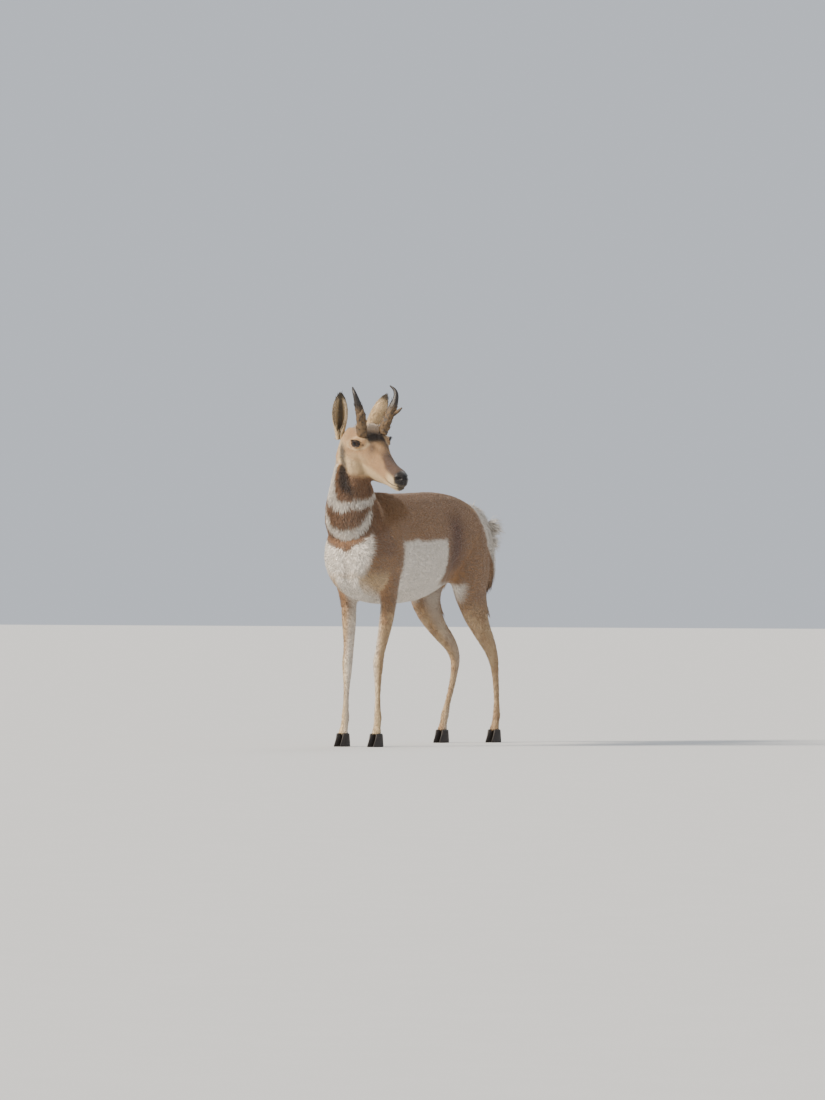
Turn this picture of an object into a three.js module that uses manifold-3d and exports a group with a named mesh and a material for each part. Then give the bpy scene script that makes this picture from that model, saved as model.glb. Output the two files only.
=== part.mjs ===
// A young pronghorn buck, life size, standing with its head turned to its left.
// Millimetres, +Z up. The animal faces -Y and its left side is +X.
import * as THREE from "three";
import { mergeVertices } from "three/addons/utils/BufferGeometryUtils.js";
import Module from "manifold-3d";

const wasm = await Module();
wasm.setup();

// Driving dimensions
const GAP = 0.3; // clearance between touching nodes
const HEAD_SIZE = 1.07; // the head against the table below, which is for a small adult
const HEAD_PITCH = 30; // degrees that the face slopes down
const HEAD_YAW = 67; // degrees that the head turns to the animal's left
const HEAD_ROLL = 5; // degrees that the head tips over to its right
const HEAD_ORIGIN = { ahead: 321, left: 5, up: 1112 }; // the poll, where the head's own frame starts
const CORONET = 42; // height of the hoof's crown

// Solids

// A point from how far ahead, to the left and up it is on the animal.
function point(ahead, left, up) {
  return new THREE.Vector3(left, -ahead, up);
}

// A closed triangle mesh as a manifold solid.
function solidOf(geometry) {
  const bare = new THREE.BufferGeometry();
  bare.setAttribute("position", geometry.getAttribute("position"));
  bare.setIndex(geometry.getIndex());
  const merged = mergeVertices(bare, 1e-3);
  return new wasm.Manifold(
    new wasm.Mesh({
      numProp: 3,
      vertProperties: merged.attributes.position.array,
      triVerts: new Uint32Array(merged.index.array),
    }),
  );
}

// The solid between rings of equally many points, closed at both ends by a fan.
function loft(rings) {
  const around = rings[0].length;
  const positions = [];
  const faces = [];
  rings.forEach((ring) => ring.forEach((p) => positions.push(p.x, p.y, p.z)));
  for (let i = 0; i + 1 < rings.length; i++) {
    for (let j = 0; j < around; j++) {
      const a = i * around + j;
      const b = i * around + ((j + 1) % around);
      faces.push(a, b, b + around, a, b + around, a + around);
    }
  }
  [0, rings.length - 1].forEach((row, end) => {
    const centre = new THREE.Vector3();
    rings[row].forEach((p) => centre.addScaledVector(p, 1 / around));
    const hub = positions.length / 3;
    positions.push(centre.x, centre.y, centre.z);
    for (let j = 0; j < around; j++) {
      const a = row * around + j;
      const b = row * around + ((j + 1) % around);
      faces.push(...(end ? [a, b, hub] : [b, a, hub]));
    }
  });
  const geometry = new THREE.BufferGeometry();
  geometry.setAttribute("position", new THREE.Float32BufferAttribute(positions, 3));
  geometry.setIndex(faces);
  let solid = solidOf(geometry);
  if (solid.volume() < 0) {
    for (let i = 0; i < faces.length; i += 3) {
      [faces[i + 1], faces[i + 2]] = [faces[i + 2], faces[i + 1]];
    }
    geometry.setIndex(faces);
    solid = solidOf(geometry);
  }
  return solid;
}

// Values between rows of numbers, on a smooth curve through them.
function blend(rows, t) {
  const span = rows.length - 1;
  const i = Math.min(Math.floor(t * span), span - 1);
  const f = t * span - i;
  const at = (k) => rows[Math.max(0, Math.min(span, k))];
  return at(i).map((_, c) => {
    const [p0, p1, p2, p3] = [at(i - 1)[c], at(i)[c], at(i + 1)[c], at(i + 2)[c]];
    return (
      0.5 *
      (2 * p1 + (p2 - p0) * f + (2 * p0 - 5 * p1 + 4 * p2 - p3) * f * f + (3 * p1 - p0 - 3 * p2 + p3) * f * f * f)
    );
  });
}

// A point of an oval section: angle 0 is to the side and a quarter turn is to the front.
function oval(angle, side, front, back, fullness) {
  const c = Math.cos(angle);
  const s = Math.sin(angle);
  const power = 2 / fullness;
  return [side * Math.sign(c) * Math.abs(c) ** power, (s > 0 ? front : back) * Math.sign(s) * Math.abs(s) ** power];
}

// A limb, neck or tail: rows of [ahead, left, up, side, front, back, fullness, turn],
// where turn is how far in degrees the section's front is turned to the left.
function limb(rows, around, steps) {
  const rings = [];
  for (let i = 0; i <= steps; i++) {
    const t = i / steps;
    const row = blend(rows, t);
    const centre = point(row[0], row[1], row[2]);
    const before = blend(rows, Math.max(0, t - 0.01));
    const after = blend(rows, Math.min(1, t + 0.01));
    const along = point(after[0], after[1], after[2]).sub(point(before[0], before[1], before[2])).normalize();
    const turn = THREE.MathUtils.degToRad(row[7]);
    const ahead = point(Math.cos(turn), Math.sin(turn), 0);
    const side = new THREE.Vector3().crossVectors(along, ahead).normalize();
    const front = new THREE.Vector3().crossVectors(side, along).normalize();
    const ring = [];
    for (let j = 0; j < around; j++) {
      const [u, v] = oval((j / around) * 2 * Math.PI, row[3], row[4], row[5], row[6]);
      ring.push(centre.clone().addScaledVector(side, u).addScaledVector(front, v));
    }
    rings.push(ring);
  }
  return loft(rings);
}

// Torso: rows of [ahead, top, bottom, half width, height of the widest line, fullness].
function trunk(rows, around, steps) {
  const rings = [];
  for (let i = 0; i <= steps; i++) {
    const [ahead, top, bottom, half, widest, fullness] = blend(rows, i / steps);
    const ring = [];
    for (let j = 0; j < around; j++) {
      const [u, v] = oval((j / around) * 2 * Math.PI, half, top - widest, widest - bottom, fullness);
      ring.push(point(ahead, u, widest + v));
    }
    rings.push(ring);
  }
  return loft(rings);
}

const TORSO_ROWS = [
  [-478, 772, 714, 20, 742, 2],
  [-464, 800, 692, 50, 740, 2],
  [-432, 824, 662, 78, 732, 2],
  [-386, 841, 628, 104, 716, 2.1],
  [-320, 862, 590, 121, 705, 2.1],
  [-240, 876, 556, 128, 695, 2.1],
  [-150, 880, 524, 134, 690, 2.1],
  [-50, 877, 496, 144, 680, 2.1],
  [50, 874, 484, 150, 670, 2.1],
  [140, 874, 482, 144, 665, 2],
  [215, 876, 484, 134, 660, 1.9],
  [285, 856, 492, 130, 655, 1.9],
  [335, 826, 506, 124, 652, 2],
  [372, 784, 534, 110, 652, 2],
  [396, 734, 570, 84, 650, 2],
  [410, 692, 610, 46, 648, 2],
  [414, 664, 636, 14, 650, 2],
];

const NECK_ROWS = [
  [255, 0, 660, 106, 118, 110, 2, 0],
  [292, -6, 730, 110, 118, 104, 2, 5],
  [330, -12, 800, 104, 108, 94, 2, 12],
  [348, -11, 870, 82, 94, 80, 2, 22],
  [350, -8, 940, 65, 80, 72, 2, 35],
  [344, -4, 1000, 56, 70, 68, 2, 50],
  [336, 2, 1050, 50, 60, 56, 2, 62],
  [330, 8, 1085, 36, 44, 34, 2, 67],
];

// The foreleg on one side, 1 for left and -1 for right, from inside the chest down to the hoof's crown.
function forelegRows(side) {
  return [
    [262, 74, 640, 34, 62, 62, 2],
    [258, 80, 575, 38, 58, 62, 2],
    [253, 80, 520, 34, 42, 52, 2],
    [253, 77, 465, 27, 31, 36, 2],
    [263, 70, 395, 22, 25, 27, 2],
    [278, 63, 330, 18.5, 19, 20, 2],
    [288, 61, 288, 19, 21, 19, 2.3],
    [290, 61, 252, 16, 17, 17, 2.2],
    [293, 62, 200, 12, 13, 13.5, 2],
    [296, 63, 140, 11.5, 13, 13, 2],
    [297, 64, 98, 15, 16, 17, 2],
    [304, 65, 68, 15, 13, 14, 2],
    [312, 66, CORONET - 8, 23, 19, 18, 2.2],
  ].map(([ahead, left, ...rest]) => [ahead, side * left, ...rest, 0]);
}

function hindlegRows(side) {
  const upper = [
    [-320, 70, 760, 46, 100, 100, 2],
    [-310, 80, 690, 52, 124, 124, 2],
    [-300, 88, 610, 54, 134, 122, 2],
    [-296, 90, 540, 46, 103, 100, 2],
    [-320, 92, 470, 36, 66, 80, 2],
    [-378, 86, 400, 26, 40, 49, 2],
  ];
  const left = [
    [-452, 78, 338, 20, 30, 34, 2],
    [-488, 75, 290, 17, 22, 22, 2.2],
    [-502, 73, 250, 14, 17, 17, 2],
    [-514, 71, 190, 11.5, 15, 14, 2],
    [-519, 70, 130, 11.5, 14, 13, 2],
    [-520, 69, 98, 15, 16, 17, 2],
    [-511, 69, 68, 15, 13, 14, 2],
    [-502, 69, CORONET - 8, 23, 19, 18, 2.2],
  ];
  const right = [
    [-452, 80, 345, 20, 32, 34, 2],
    [-480, 76, 298, 17, 24, 24, 2.2],
    [-474, 74, 252, 14, 17, 17, 2],
    [-450, 72, 194, 11.5, 15, 14, 2],
    [-418, 71, 134, 11.5, 14, 13, 2],
    [-400, 70, 98, 15, 16, 17, 2],
    [-388, 70, 68, 15, 13, 14, 2],
    [-378, 70, CORONET - 8, 23, 19, 18, 2.2],
  ];
  return [...upper, ...(side > 0 ? left : right)].map(([ahead, out, ...rest]) => [ahead, side * out, ...rest, 0]);
}

// Head

// The head's own frame: x forward along the face, y to its left, z up from the line of the face.
const headFrame = new THREE.Matrix4()
  .makeTranslation(HEAD_ORIGIN.left, -HEAD_ORIGIN.ahead, HEAD_ORIGIN.up)
  .multiply(new THREE.Matrix4().makeRotationZ(THREE.MathUtils.degToRad(HEAD_YAW - 90)))
  .multiply(new THREE.Matrix4().makeRotationY(THREE.MathUtils.degToRad(HEAD_PITCH)))
  .multiply(new THREE.Matrix4().makeRotationX(THREE.MathUtils.degToRad(HEAD_ROLL)))
  .scale(new THREE.Vector3(HEAD_SIZE, HEAD_SIZE, HEAD_SIZE));

const onHead = (solid) => solid.transform(headFrame.elements);

// Rows of [forward, top, brow half width, brow height, cheek half width, cheek height,
// jaw half width, jaw height, bottom].
const HEAD_ROWS = [
  [-22, -54, 14, -60, 24, -74, 18, -96, -104],
  [-8, -30, 30, -40, 42, -66, 36, -106, -124],
  [26, -8, 43, -18, 56, -58, 44, -118, -146],
  [62, 4, 44, -6, 60, -46, 45, -122, -154],
  [96, 4, 44, -9, 58, -44, 43, -120, -152],
  [128, -6, 35, -17, 49, -52, 38, -114, -143],
  [160, -15, 25, -24, 40, -58, 32, -104, -131],
  [194, -22, 20, -29, 33, -58, 26, -94, -118],
  [226, -25, 18, -32, 28, -55, 23, -86, -108],
  [256, -25, 19, -32, 28, -52, 22, -82, -103],
  [280, -27, 19, -34, 27, -51, 18, -78, -98],
  [295, -34, 14, -40, 20, -53, 13, -74, -88],
  [303, -45, 7, -48, 10, -55, 7, -64, -70],
];

function headCore(around, steps) {
  const rings = [];
  for (let i = 0; i <= steps; i++) {
    const [x, top, browHalf, browUp, cheekHalf, cheekUp, jawHalf, jawUp, bottom] = blend(HEAD_ROWS, i / steps);
    const half = [
      [0, top],
      [browHalf, browUp],
      [cheekHalf, cheekUp],
      [jawHalf, jawUp],
      [0, bottom],
    ];
    const mirror = half.slice(1, -1).reverse();
    const section = [
      ...half.map(([y, z]) => new THREE.Vector3(x, y, z)),
      ...mirror.map(([y, z]) => new THREE.Vector3(x, -y, z)),
    ];
    const curve = new THREE.CatmullRomCurve3(section, true, "centripetal");
    const ring = [];
    for (let j = 0; j < around; j++) {
      ring.push(curve.getPoint(j / around));
    }
    rings.push(ring);
  }
  return loft(rings);
}

// Eyes and lids
const EYE = { forward: 86, out: 50, up: -27, radius: 19.5 };
const EYE_AXIS = [0.22, 0.96, 0.1]; // where the eye looks, to its own side
const LID = { long: 19, high: 13.5, thick: 3.2 };

function eyeCentre(side) {
  return new THREE.Vector3(EYE.forward, side * EYE.out, EYE.up);
}

function eyeball(side, extra) {
  const centre = eyeCentre(side);
  const ball = new THREE.SphereGeometry(EYE.radius + extra, 16, 12).translate(centre.x, centre.y, centre.z);
  return onHead(solidOf(ball));
}

// The bony ring around the eye, which stands out from the side of the head.
function orbit(side) {
  const bone = new THREE.SphereGeometry(1, 16, 12).scale(34, 28, 27).translate(EYE.forward, side * (EYE.out - 13), EYE.up);
  return onHead(solidOf(bone));
}

// The rim of the lids, a closed ring that lies on the eyeball.
function lids(side) {
  const out = new THREE.Vector3(EYE_AXIS[0], side * EYE_AXIS[1], EYE_AXIS[2]).normalize();
  const along = new THREE.Vector3(1, 0, -0.12).addScaledVector(out, -out.x).normalize();
  const high = new THREE.Vector3().crossVectors(out, along).multiplyScalar(side > 0 ? -1 : 1).normalize();
  const centre = eyeCentre(side);
  const reach = EYE.radius + 0.8;
  const points = [];
  const count = 20;
  for (let i = 0; i < count; i++) {
    const angle = (i / count) * 2 * Math.PI;
    const corner = 1 - 0.22 * Math.abs(Math.sin(angle)) * Math.cos(angle) ** 2;
    const u = LID.long * Math.cos(angle);
    const v = LID.high * Math.sin(angle) * corner;
    const w = Math.sqrt(Math.max(reach * reach - u * u - v * v, 9));
    points.push(centre.clone().addScaledVector(along, u).addScaledVector(high, v).addScaledVector(out, w));
  }
  const ring = new THREE.CatmullRomCurve3(points, true);
  return onHead(solidOf(new THREE.TubeGeometry(ring, count, LID.thick, 6, true)));
}

// A cut along a curve, in a section of the given height and depth.
function groove(points, height, depth, steps) {
  const section = new THREE.Shape();
  section.moveTo(-height / 2, -depth);
  section.lineTo(height / 2, -depth);
  section.lineTo(height / 2, depth);
  section.lineTo(-height / 2, depth);
  section.closePath();
  const path = new THREE.CatmullRomCurve3(points.map(([x, y, z]) => new THREE.Vector3(x, y, z)));
  return solidOf(new THREE.ExtrudeGeometry(section, { steps, extrudePath: path, bevelEnabled: false }));
}

const MOUTH = [
  [230, 31, -72],
  [250, 30.5, -76],
  [272, 27.5, -77],
  [290, 19, -75],
  [300, 0, -73],
];
const mouthLine = [...MOUTH, ...MOUTH.slice(0, -1).reverse().map(([x, y, z]) => [x, -y, z])];

function nostril(side) {
  const pit = new THREE.SphereGeometry(1, 12, 8)
    .scale(10, 5, 5.5)
    .rotateY(0.5)
    .rotateZ(-side * 0.55)
    .translate(290, side * 17.5, -44);
  return solidOf(pit);
}

// Horns

// A place given in the head's heading but upright: forward, out to one side and up from a root on the head.
function fromRoot(root, side, forward, out, up) {
  const yaw = THREE.MathUtils.degToRad(HEAD_YAW);
  const roll = Math.tan(THREE.MathUtils.degToRad(HEAD_ROLL));
  const base = new THREE.Vector3(root[0], side * root[1], root[2]).applyMatrix4(headFrame);
  const left = side * out - roll * up;
  return [
    -base.y + forward * Math.cos(yaw) - left * Math.sin(yaw),
    base.x + forward * Math.sin(yaw) + left * Math.cos(yaw),
    base.z + up,
  ];
}

const rootPoint = (root, side) => point(...fromRoot(root, side, 0, 0, 0));

const HORN_ROOT = [79, 43, 8];
// Rows of [forward, out, up, side, front, back].
const HORN_ROWS = [
  [-4, -5, -10, 14.5, 21, 19],
  [0, 0, 6, 15.5, 22, 20],
  [10, 6, 30, 15, 22, 18],
  [20, 15, 58, 14.5, 21, 16],
  [28, 26, 84, 13, 18, 14],
  [33, 34, 104, 10.5, 12, 12],
  [32, 39, 124, 8, 9.5, 9],
  [24, 39, 141, 5.5, 6.5, 6],
  [10, 32, 154, 2.2, 2.6, 2.6],
];
const PRONG_ROWS = [
  [18, 16, 52, 9, 9, 9],
  [38, 23, 60, 8, 9, 9],
  [53, 30, 68, 5.5, 7, 6],
  [65, 36, 78, 2, 2.5, 2.5],
];

function hornTube(side, rows, steps) {
  const placed = rows.map(([forward, out, up, wide, front, back]) => [
    ...fromRoot(HORN_ROOT, side, forward, out, up),
    wide,
    front,
    back,
    2,
    HEAD_YAW,
  ]);
  return limb(placed, 10, steps);
}

function horn(side) {
  return hornTube(side, HORN_ROWS, 20).add(hornTube(side, PRONG_ROWS, 6));
}

// Ears

const EAR_ROOT = [-10, 56, -52];
const EAR_LENGTH = 146;
// How far the tip of each ear leans, and where its cup faces in degrees from the head's own heading.
const EAR_LEAN = {
  left: { forward: 34, out: 78, face: 112 },
  right: { forward: 26, out: 6, face: -44 },
};
// Rows of [share of the length, radius of the cup, half angle of the cup in degrees, thickness].
const EAR_ROWS = [
  [-0.1, 13, 166, 9],
  [0.03, 15, 160, 8],
  [0.17, 19, 138, 4],
  [0.34, 24, 110, 3],
  [0.52, 27, 88, 2.6],
  [0.7, 26, 72, 2.4],
  [0.86, 20, 56, 2],
  [0.96, 12, 44, 1.6],
  [1, 5, 40, 1.4],
];

// A cupped leaf: each section is an arc of skin, open to where the ear faces.
function ear(side) {
  const lean = side > 0 ? EAR_LEAN.left : EAR_LEAN.right;
  const facing = THREE.MathUtils.degToRad(HEAD_YAW + lean.face);
  const face = point(Math.cos(facing), Math.sin(facing), 0);
  const root = rootPoint(EAR_ROOT, side);
  const tip = point(...fromRoot(EAR_ROOT, side, lean.forward, lean.out, EAR_LENGTH - 12));
  const axis = tip.clone().sub(root).normalize();
  const across = new THREE.Vector3().crossVectors(axis, face).normalize();
  const open = new THREE.Vector3().crossVectors(across, axis).normalize();
  const arcSteps = 8;
  const steps = 13;
  const rings = [];
  for (let i = 0; i <= steps; i++) {
    const [share, radius, half, thickness] = blend(EAR_ROWS, i / steps);
    const bow = 10 * Math.sin(Math.PI * Math.max(share, 0));
    const centre = root
      .clone()
      .addScaledVector(axis, share * EAR_LENGTH)
      .addScaledVector(open, radius - 20 - bow);
    const ring = [];
    const arc = (r, from, to) => {
      for (let j = 0; j <= arcSteps; j++) {
        const angle = THREE.MathUtils.degToRad(from + ((to - from) * j) / arcSteps);
        ring.push(
          centre.clone().addScaledVector(open, -r * Math.cos(angle)).addScaledVector(across, r * Math.sin(angle)),
        );
      }
    };
    arc(radius, -half, half);
    arc(Math.max(radius - thickness, 0.8), half, -half);
    rings.push(ring);
  }
  return loft(rings);
}

// Hooves

// One claw: a pointed block with a flat sole, leaning forward from the crown.
function claw(ahead, left) {
  // Rows of [up, heel, toe, half width].
  const rows = [
    [0, -24, 38, 11],
    [3, -25, 39, 11.6],
    [20, -23, 28, 11.4],
    [CORONET - GAP, -19, 17, 11],
  ];
  const around = 12;
  const rings = rows.map(([up, heel, toe, half]) => {
    const ring = [];
    for (let j = 0; j < around; j++) {
      const angle = (j / around) * 2 * Math.PI;
      const c = Math.cos(angle);
      const narrow = c > 0 ? 1 - 0.55 * c * c : 1 - 0.2 * c * c;
      ring.push(point(ahead + (c > 0 ? toe : -heel) * c, left + half * Math.sin(angle) * narrow, up));
    }
    return ring;
  });
  return loft(rings);
}

// Tail

const TAIL_ROWS = [
  [-448, 0, 806, 18, 12, 12, 2, 0],
  [-476, 0, 806, 20, 12, 12, 2, 0],
  [-500, 0, 790, 21, 11, 11, 2, 0],
  [-514, 0, 756, 20, 10, 10, 2, 0],
  [-517, 0, 722, 15, 8, 8, 2, 0],
  [-514, 0, 694, 6, 4, 4, 2, 0],
];

// The whole body, then parted by thin cuts

// What makes room for the root of a horn, ear or tail: the hull of its root with a thin clearance all round.
function socket(solid, centre, reach) {
  const ball = solidOf(new THREE.SphereGeometry(reach, 12, 8).translate(centre.x, centre.y, centre.z));
  const root = solid.intersect(ball);
  const by = 1.5 * GAP;
  const shifts = [
    [by, 0, 0],
    [-by, 0, 0],
    [0, by, 0],
    [0, -by, 0],
    [0, 0, by],
    [0, 0, -by],
  ];
  return shifts.map((shift) => root.translate(shift)).reduce((all, one) => all.add(one)).hull();
}

const tail = limb(TAIL_ROWS, 12, 10);

// Locks of longer hair: a flat tapered blade from a root sunk in the body, bending over to its lie.
function lock(root, rise, lie, length, width, sunk) {
  const across = new THREE.Vector3().crossVectors(rise, lie).normalize();
  // Rows of [share of the length, width, thickness].
  const rows = [
    [0, 0.8, 0.4],
    [0.35, 1, 0.36],
    [0.7, 0.7, 0.24],
    [1, 0.12, 0.08],
  ];
  const rings = rows.map(([share, wide, thick]) => {
    const centre = root
      .clone()
      .addScaledVector(rise, length * 0.5 * Math.sin(share * 1.5) - sunk * (1 - share))
      .addScaledVector(lie, length * 0.9 * share * share);
    const along = rise.clone().multiplyScalar(1 - share).addScaledVector(lie, share + 0.2).normalize();
    const up = new THREE.Vector3().crossVectors(across, along).normalize();
    return [
      centre.clone().addScaledVector(across, width * wide * 0.5),
      centre.clone().addScaledVector(up, width * thick * 0.5),
      centre.clone().addScaledVector(across, -width * wide * 0.5),
      centre.clone().addScaledVector(up, -width * thick * 0.5),
    ];
  });
  return loft(rings);
}

// A seeded draw between two numbers.
let seed = 7;
function draw(low, high) {
  seed = (seed * 16807) % 2147483647;
  return low + ((high - low) * seed) / 2147483647;
}

// The white hair of the rump, in rings round the tail that lie outwards and down.
const RUMP_MIDDLE = point(-380, 0, 742);
function rumpLocks() {
  const locks = [];
  for (const [t, count, length] of [
    [0.045, 8, 46],
    [0.085, 11, 50],
    [0.13, 13, 54],
  ]) {
    const [ahead, top, bottom, half, widest] = blend(TORSO_ROWS, t);
    for (let i = 0; i < count; i++) {
      const angle = -0.2 * Math.PI + (1.4 * Math.PI * (i + draw(0.2, 0.8))) / count - Math.PI;
      const height = Math.sin(angle) > 0 ? top - widest : widest - bottom;
      const root = point(ahead, half * Math.cos(angle), widest + height * Math.sin(angle));
      const rise = root.clone().sub(RUMP_MIDDLE).normalize();
      const lie = new THREE.Vector3(Math.cos(angle) * 0.8, 0.1, Math.sin(angle) * 0.5 - 0.7);
      lie.addScaledVector(rise, -lie.dot(rise)).normalize();
      locks.push(lock(root, rise, lie, length * draw(0.85, 1.1), 24, 12));
    }
  }
  return locks;
}

// The short mane down the nape, whose locks lie back along the neck.
function maneLocks() {
  const locks = [];
  const count = 22;
  for (let i = 0; i < count; i++) {
    const t = 0.34 + (0.5 * (i + 0.5)) / count;
    const [ahead, left, up, , , back, , degrees] = blend(NECK_ROWS, t);
    const turn = THREE.MathUtils.degToRad(degrees);
    const rise = point(-Math.cos(turn), -Math.sin(turn), 0.25).normalize();
    const sideways = point(Math.sin(turn), -Math.cos(turn), 0).multiplyScalar(i % 2 ? 9 : -9);
    const root = point(ahead, left, up).addScaledVector(rise, back * 0.93).add(sideways);
    const lie = new THREE.Vector3(0, 0.15, -1).addScaledVector(sideways, 0.02);
    lie.addScaledVector(rise, -lie.dot(rise)).normalize();
    locks.push(lock(root, rise, lie, draw(44, 58), 20, 16));
  }
  return locks;
}

const locks = [...rumpLocks(), ...maneLocks()].reduce((all, one) => all.add(one));
let body = trunk(TORSO_ROWS, 24, 28).add(limb(NECK_ROWS, 24, 14)).add(onHead(headCore(26, 24))).add(locks);
for (const side of [1, -1]) {
  body = body.add(limb(forelegRows(side), 14, 30)).add(limb(hindlegRows(side), 16, 32));
  body = body.add(orbit(side)).add(lids(side));
}
body = body.trimByPlane([0, 0, 1], CORONET);
body = body.subtract(onHead(groove(mouthLine, 2.2, 6, 20)));
for (const side of [1, -1]) {
  body = body.subtract(onHead(nostril(side))).subtract(eyeball(side, GAP));
  body = body.subtract(socket(horn(side), rootPoint(HORN_ROOT, side), 34));
  body = body.subtract(socket(ear(side), rootPoint(EAR_ROOT, side), 30));
}
body = body.subtract(socket(tail, point(-458, 0, 806), 30));

// A straight-sided block from an outline seen from the left side, between two distances to the left.
function sideBlock(outline, from, to) {
  const shape = new THREE.Shape(outline.map(([ahead, up]) => new THREE.Vector2(-ahead, up)));
  const block = new THREE.ExtrudeGeometry(shape, { depth: to - from, bevelEnabled: false });
  // The outline's plane turns from XY to YZ, so that the depth runs along X.
  block.applyMatrix4(new THREE.Matrix4().set(0, 0, 1, from, 1, 0, 0, 0, 0, 1, 0, 0, 0, 0, 0, 1));
  return solidOf(block);
}

// The outline with every corner moved out from the middle, for the far side of a cut.
function outward(outline, by) {
  const middle = outline.reduce(([a, b], [c, d]) => [a + c / outline.length, b + d / outline.length], [0, 0]);
  return outline.map(([ahead, up]) => [ahead + Math.sign(ahead - middle[0]) * by, up + Math.sign(up - middle[1]) * by]);
}

const parts = {};

// Takes what lies in a block out of the body as a part of its own.
function part(name, block, grown) {
  parts[name] = largest(body.intersect(block));
  body = body.subtract(grown);
}

function largest(solid) {
  return solid.decompose().sort((a, b) => b.volume() - a.volume())[0];
}

// The head leaves the neck along a plane behind the jaw, given in the head's frame.
const headBlock = (by) =>
  onHead(
    solidOf(
      new THREE.BoxGeometry(420 + by, 320, 300)
        .translate(210 - by / 2, 0, 0)
        .rotateY(-0.3)
        .translate(-14, 0, -60),
    ),
  );
part("head", headBlock(0), headBlock(GAP));

const NECK_CUT = [
  [150, 945],
  [440, 655],
  [700, 900],
  [400, 1300],
];
const neckGrown = NECK_CUT.map(([ahead, up], i) => (i < 2 ? [ahead - GAP, up - GAP] : [ahead, up]));
part("neck", sideBlock(NECK_CUT, -260, 260), sideBlock(neckGrown, -261, 261));

const FORELEG_CUT = [
  [178, 545],
  [338, 545],
  [352, -20],
  [164, -20],
];
const HINDLEG_CUT = [
  [-174, 606],
  [-560, 668],
  [-640, -20],
  [-174, -20],
];
for (const [name, side] of [
  ["left", 1],
  ["right", -1],
]) {
  const span = (from, to) => (side > 0 ? [from, to] : [-to, -from]);
  part(
    `foreleg_${name}`,
    sideBlock(FORELEG_CUT, ...span(38, 220)),
    sideBlock(outward(FORELEG_CUT, GAP), ...span(38 - GAP, 221)),
  );
  part(
    `hindleg_${name}`,
    sideBlock(HINDLEG_CUT, ...span(GAP / 2, 260)),
    sideBlock(outward(HINDLEG_CUT, GAP), ...span(-GAP / 2, 261)),
  );
}
parts.torso = largest(body);
parts.tail = tail;
for (const [name, side] of [
  ["left", 1],
  ["right", -1],
]) {
  parts[`eye_${name}`] = eyeball(side, 0);
  parts[`horn_${name}`] = horn(side);
  parts[`ear_${name}`] = ear(side);
  for (const [where, rows] of [
    ["fore", forelegRows(side)],
    ["hind", hindlegRows(side)],
  ]) {
    const [ahead, left] = rows[rows.length - 1];
    const half = 12.2; // from the middle of the foot to the middle of a claw
    parts[`claw_${where}_${name}_outer`] = claw(ahead, left + side * half);
    parts[`claw_${where}_${name}_inner`] = claw(ahead, left - side * half);
  }
}

// Scene graph

const finish = (color, roughness) => new THREE.MeshStandardMaterial({ color, roughness, metalness: 0 });
const FINISHES = {
  coat: finish(0xa87a52, 0.9),
  horn: finish(0x3a302a, 0.55),
  eye: finish(0x120c0a, 0.1),
  claw: finish(0x2a2624, 0.5),
};

const animal = new THREE.Group();

function addNode(name, solid) {
  const made = solid.getMesh();
  const corners = new Float32Array(made.numVert * 3);
  for (let i = 0; i < made.numVert; i++) {
    corners.set(made.vertProperties.subarray(i * made.numProp, i * made.numProp + 3), i * 3);
  }
  const geometry = new THREE.BufferGeometry();
  geometry.setAttribute("position", new THREE.BufferAttribute(corners, 3));
  geometry.setIndex(new THREE.BufferAttribute(made.triVerts, 1));
  const mesh = new THREE.Mesh(geometry, FINISHES[name.split("_")[0]] ?? FINISHES.coat);
  mesh.name = name;
  animal.add(mesh);
}

for (const [name, solid] of Object.entries(parts)) {
  addNode(name, solid);
}

// The middle of the footprint goes to the origin, with the soles at height 0.
const bounds = new THREE.Box3().setFromObject(animal);
const middle = bounds.getCenter(new THREE.Vector3());
animal.position.set(-middle.x, -middle.y, -bounds.min.z);

export default animal;
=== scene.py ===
# %% [markdown]
# # A pronghorn buck
# A life-size young pronghorn stands still with its head turned to its left.
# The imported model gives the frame: every length below is worked out in millimetres of
# (ahead, left, up) on the animal and turned into metres by `place`.

# %% Load the frame
import math

import bmesh
import bpy
import numpy as np
from mathutils import Matrix, Vector


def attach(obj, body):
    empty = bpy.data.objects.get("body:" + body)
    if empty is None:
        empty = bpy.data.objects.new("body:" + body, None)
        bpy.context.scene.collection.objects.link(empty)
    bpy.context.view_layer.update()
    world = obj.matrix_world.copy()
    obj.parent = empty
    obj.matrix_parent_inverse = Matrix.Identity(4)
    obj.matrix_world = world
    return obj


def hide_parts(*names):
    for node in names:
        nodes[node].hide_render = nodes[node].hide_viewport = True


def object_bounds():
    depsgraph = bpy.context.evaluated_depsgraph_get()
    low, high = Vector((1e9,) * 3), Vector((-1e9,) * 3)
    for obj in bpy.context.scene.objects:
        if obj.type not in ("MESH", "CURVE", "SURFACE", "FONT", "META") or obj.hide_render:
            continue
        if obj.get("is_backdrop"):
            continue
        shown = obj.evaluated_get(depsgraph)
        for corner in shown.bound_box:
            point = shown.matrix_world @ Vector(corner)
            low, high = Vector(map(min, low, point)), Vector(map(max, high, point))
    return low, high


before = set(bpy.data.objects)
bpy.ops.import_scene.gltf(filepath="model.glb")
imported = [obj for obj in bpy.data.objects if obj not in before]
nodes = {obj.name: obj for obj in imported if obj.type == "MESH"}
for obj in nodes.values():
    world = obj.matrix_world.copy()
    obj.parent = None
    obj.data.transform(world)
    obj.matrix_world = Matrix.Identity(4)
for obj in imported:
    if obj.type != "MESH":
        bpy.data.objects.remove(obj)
print("nodes:", len(nodes))

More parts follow.
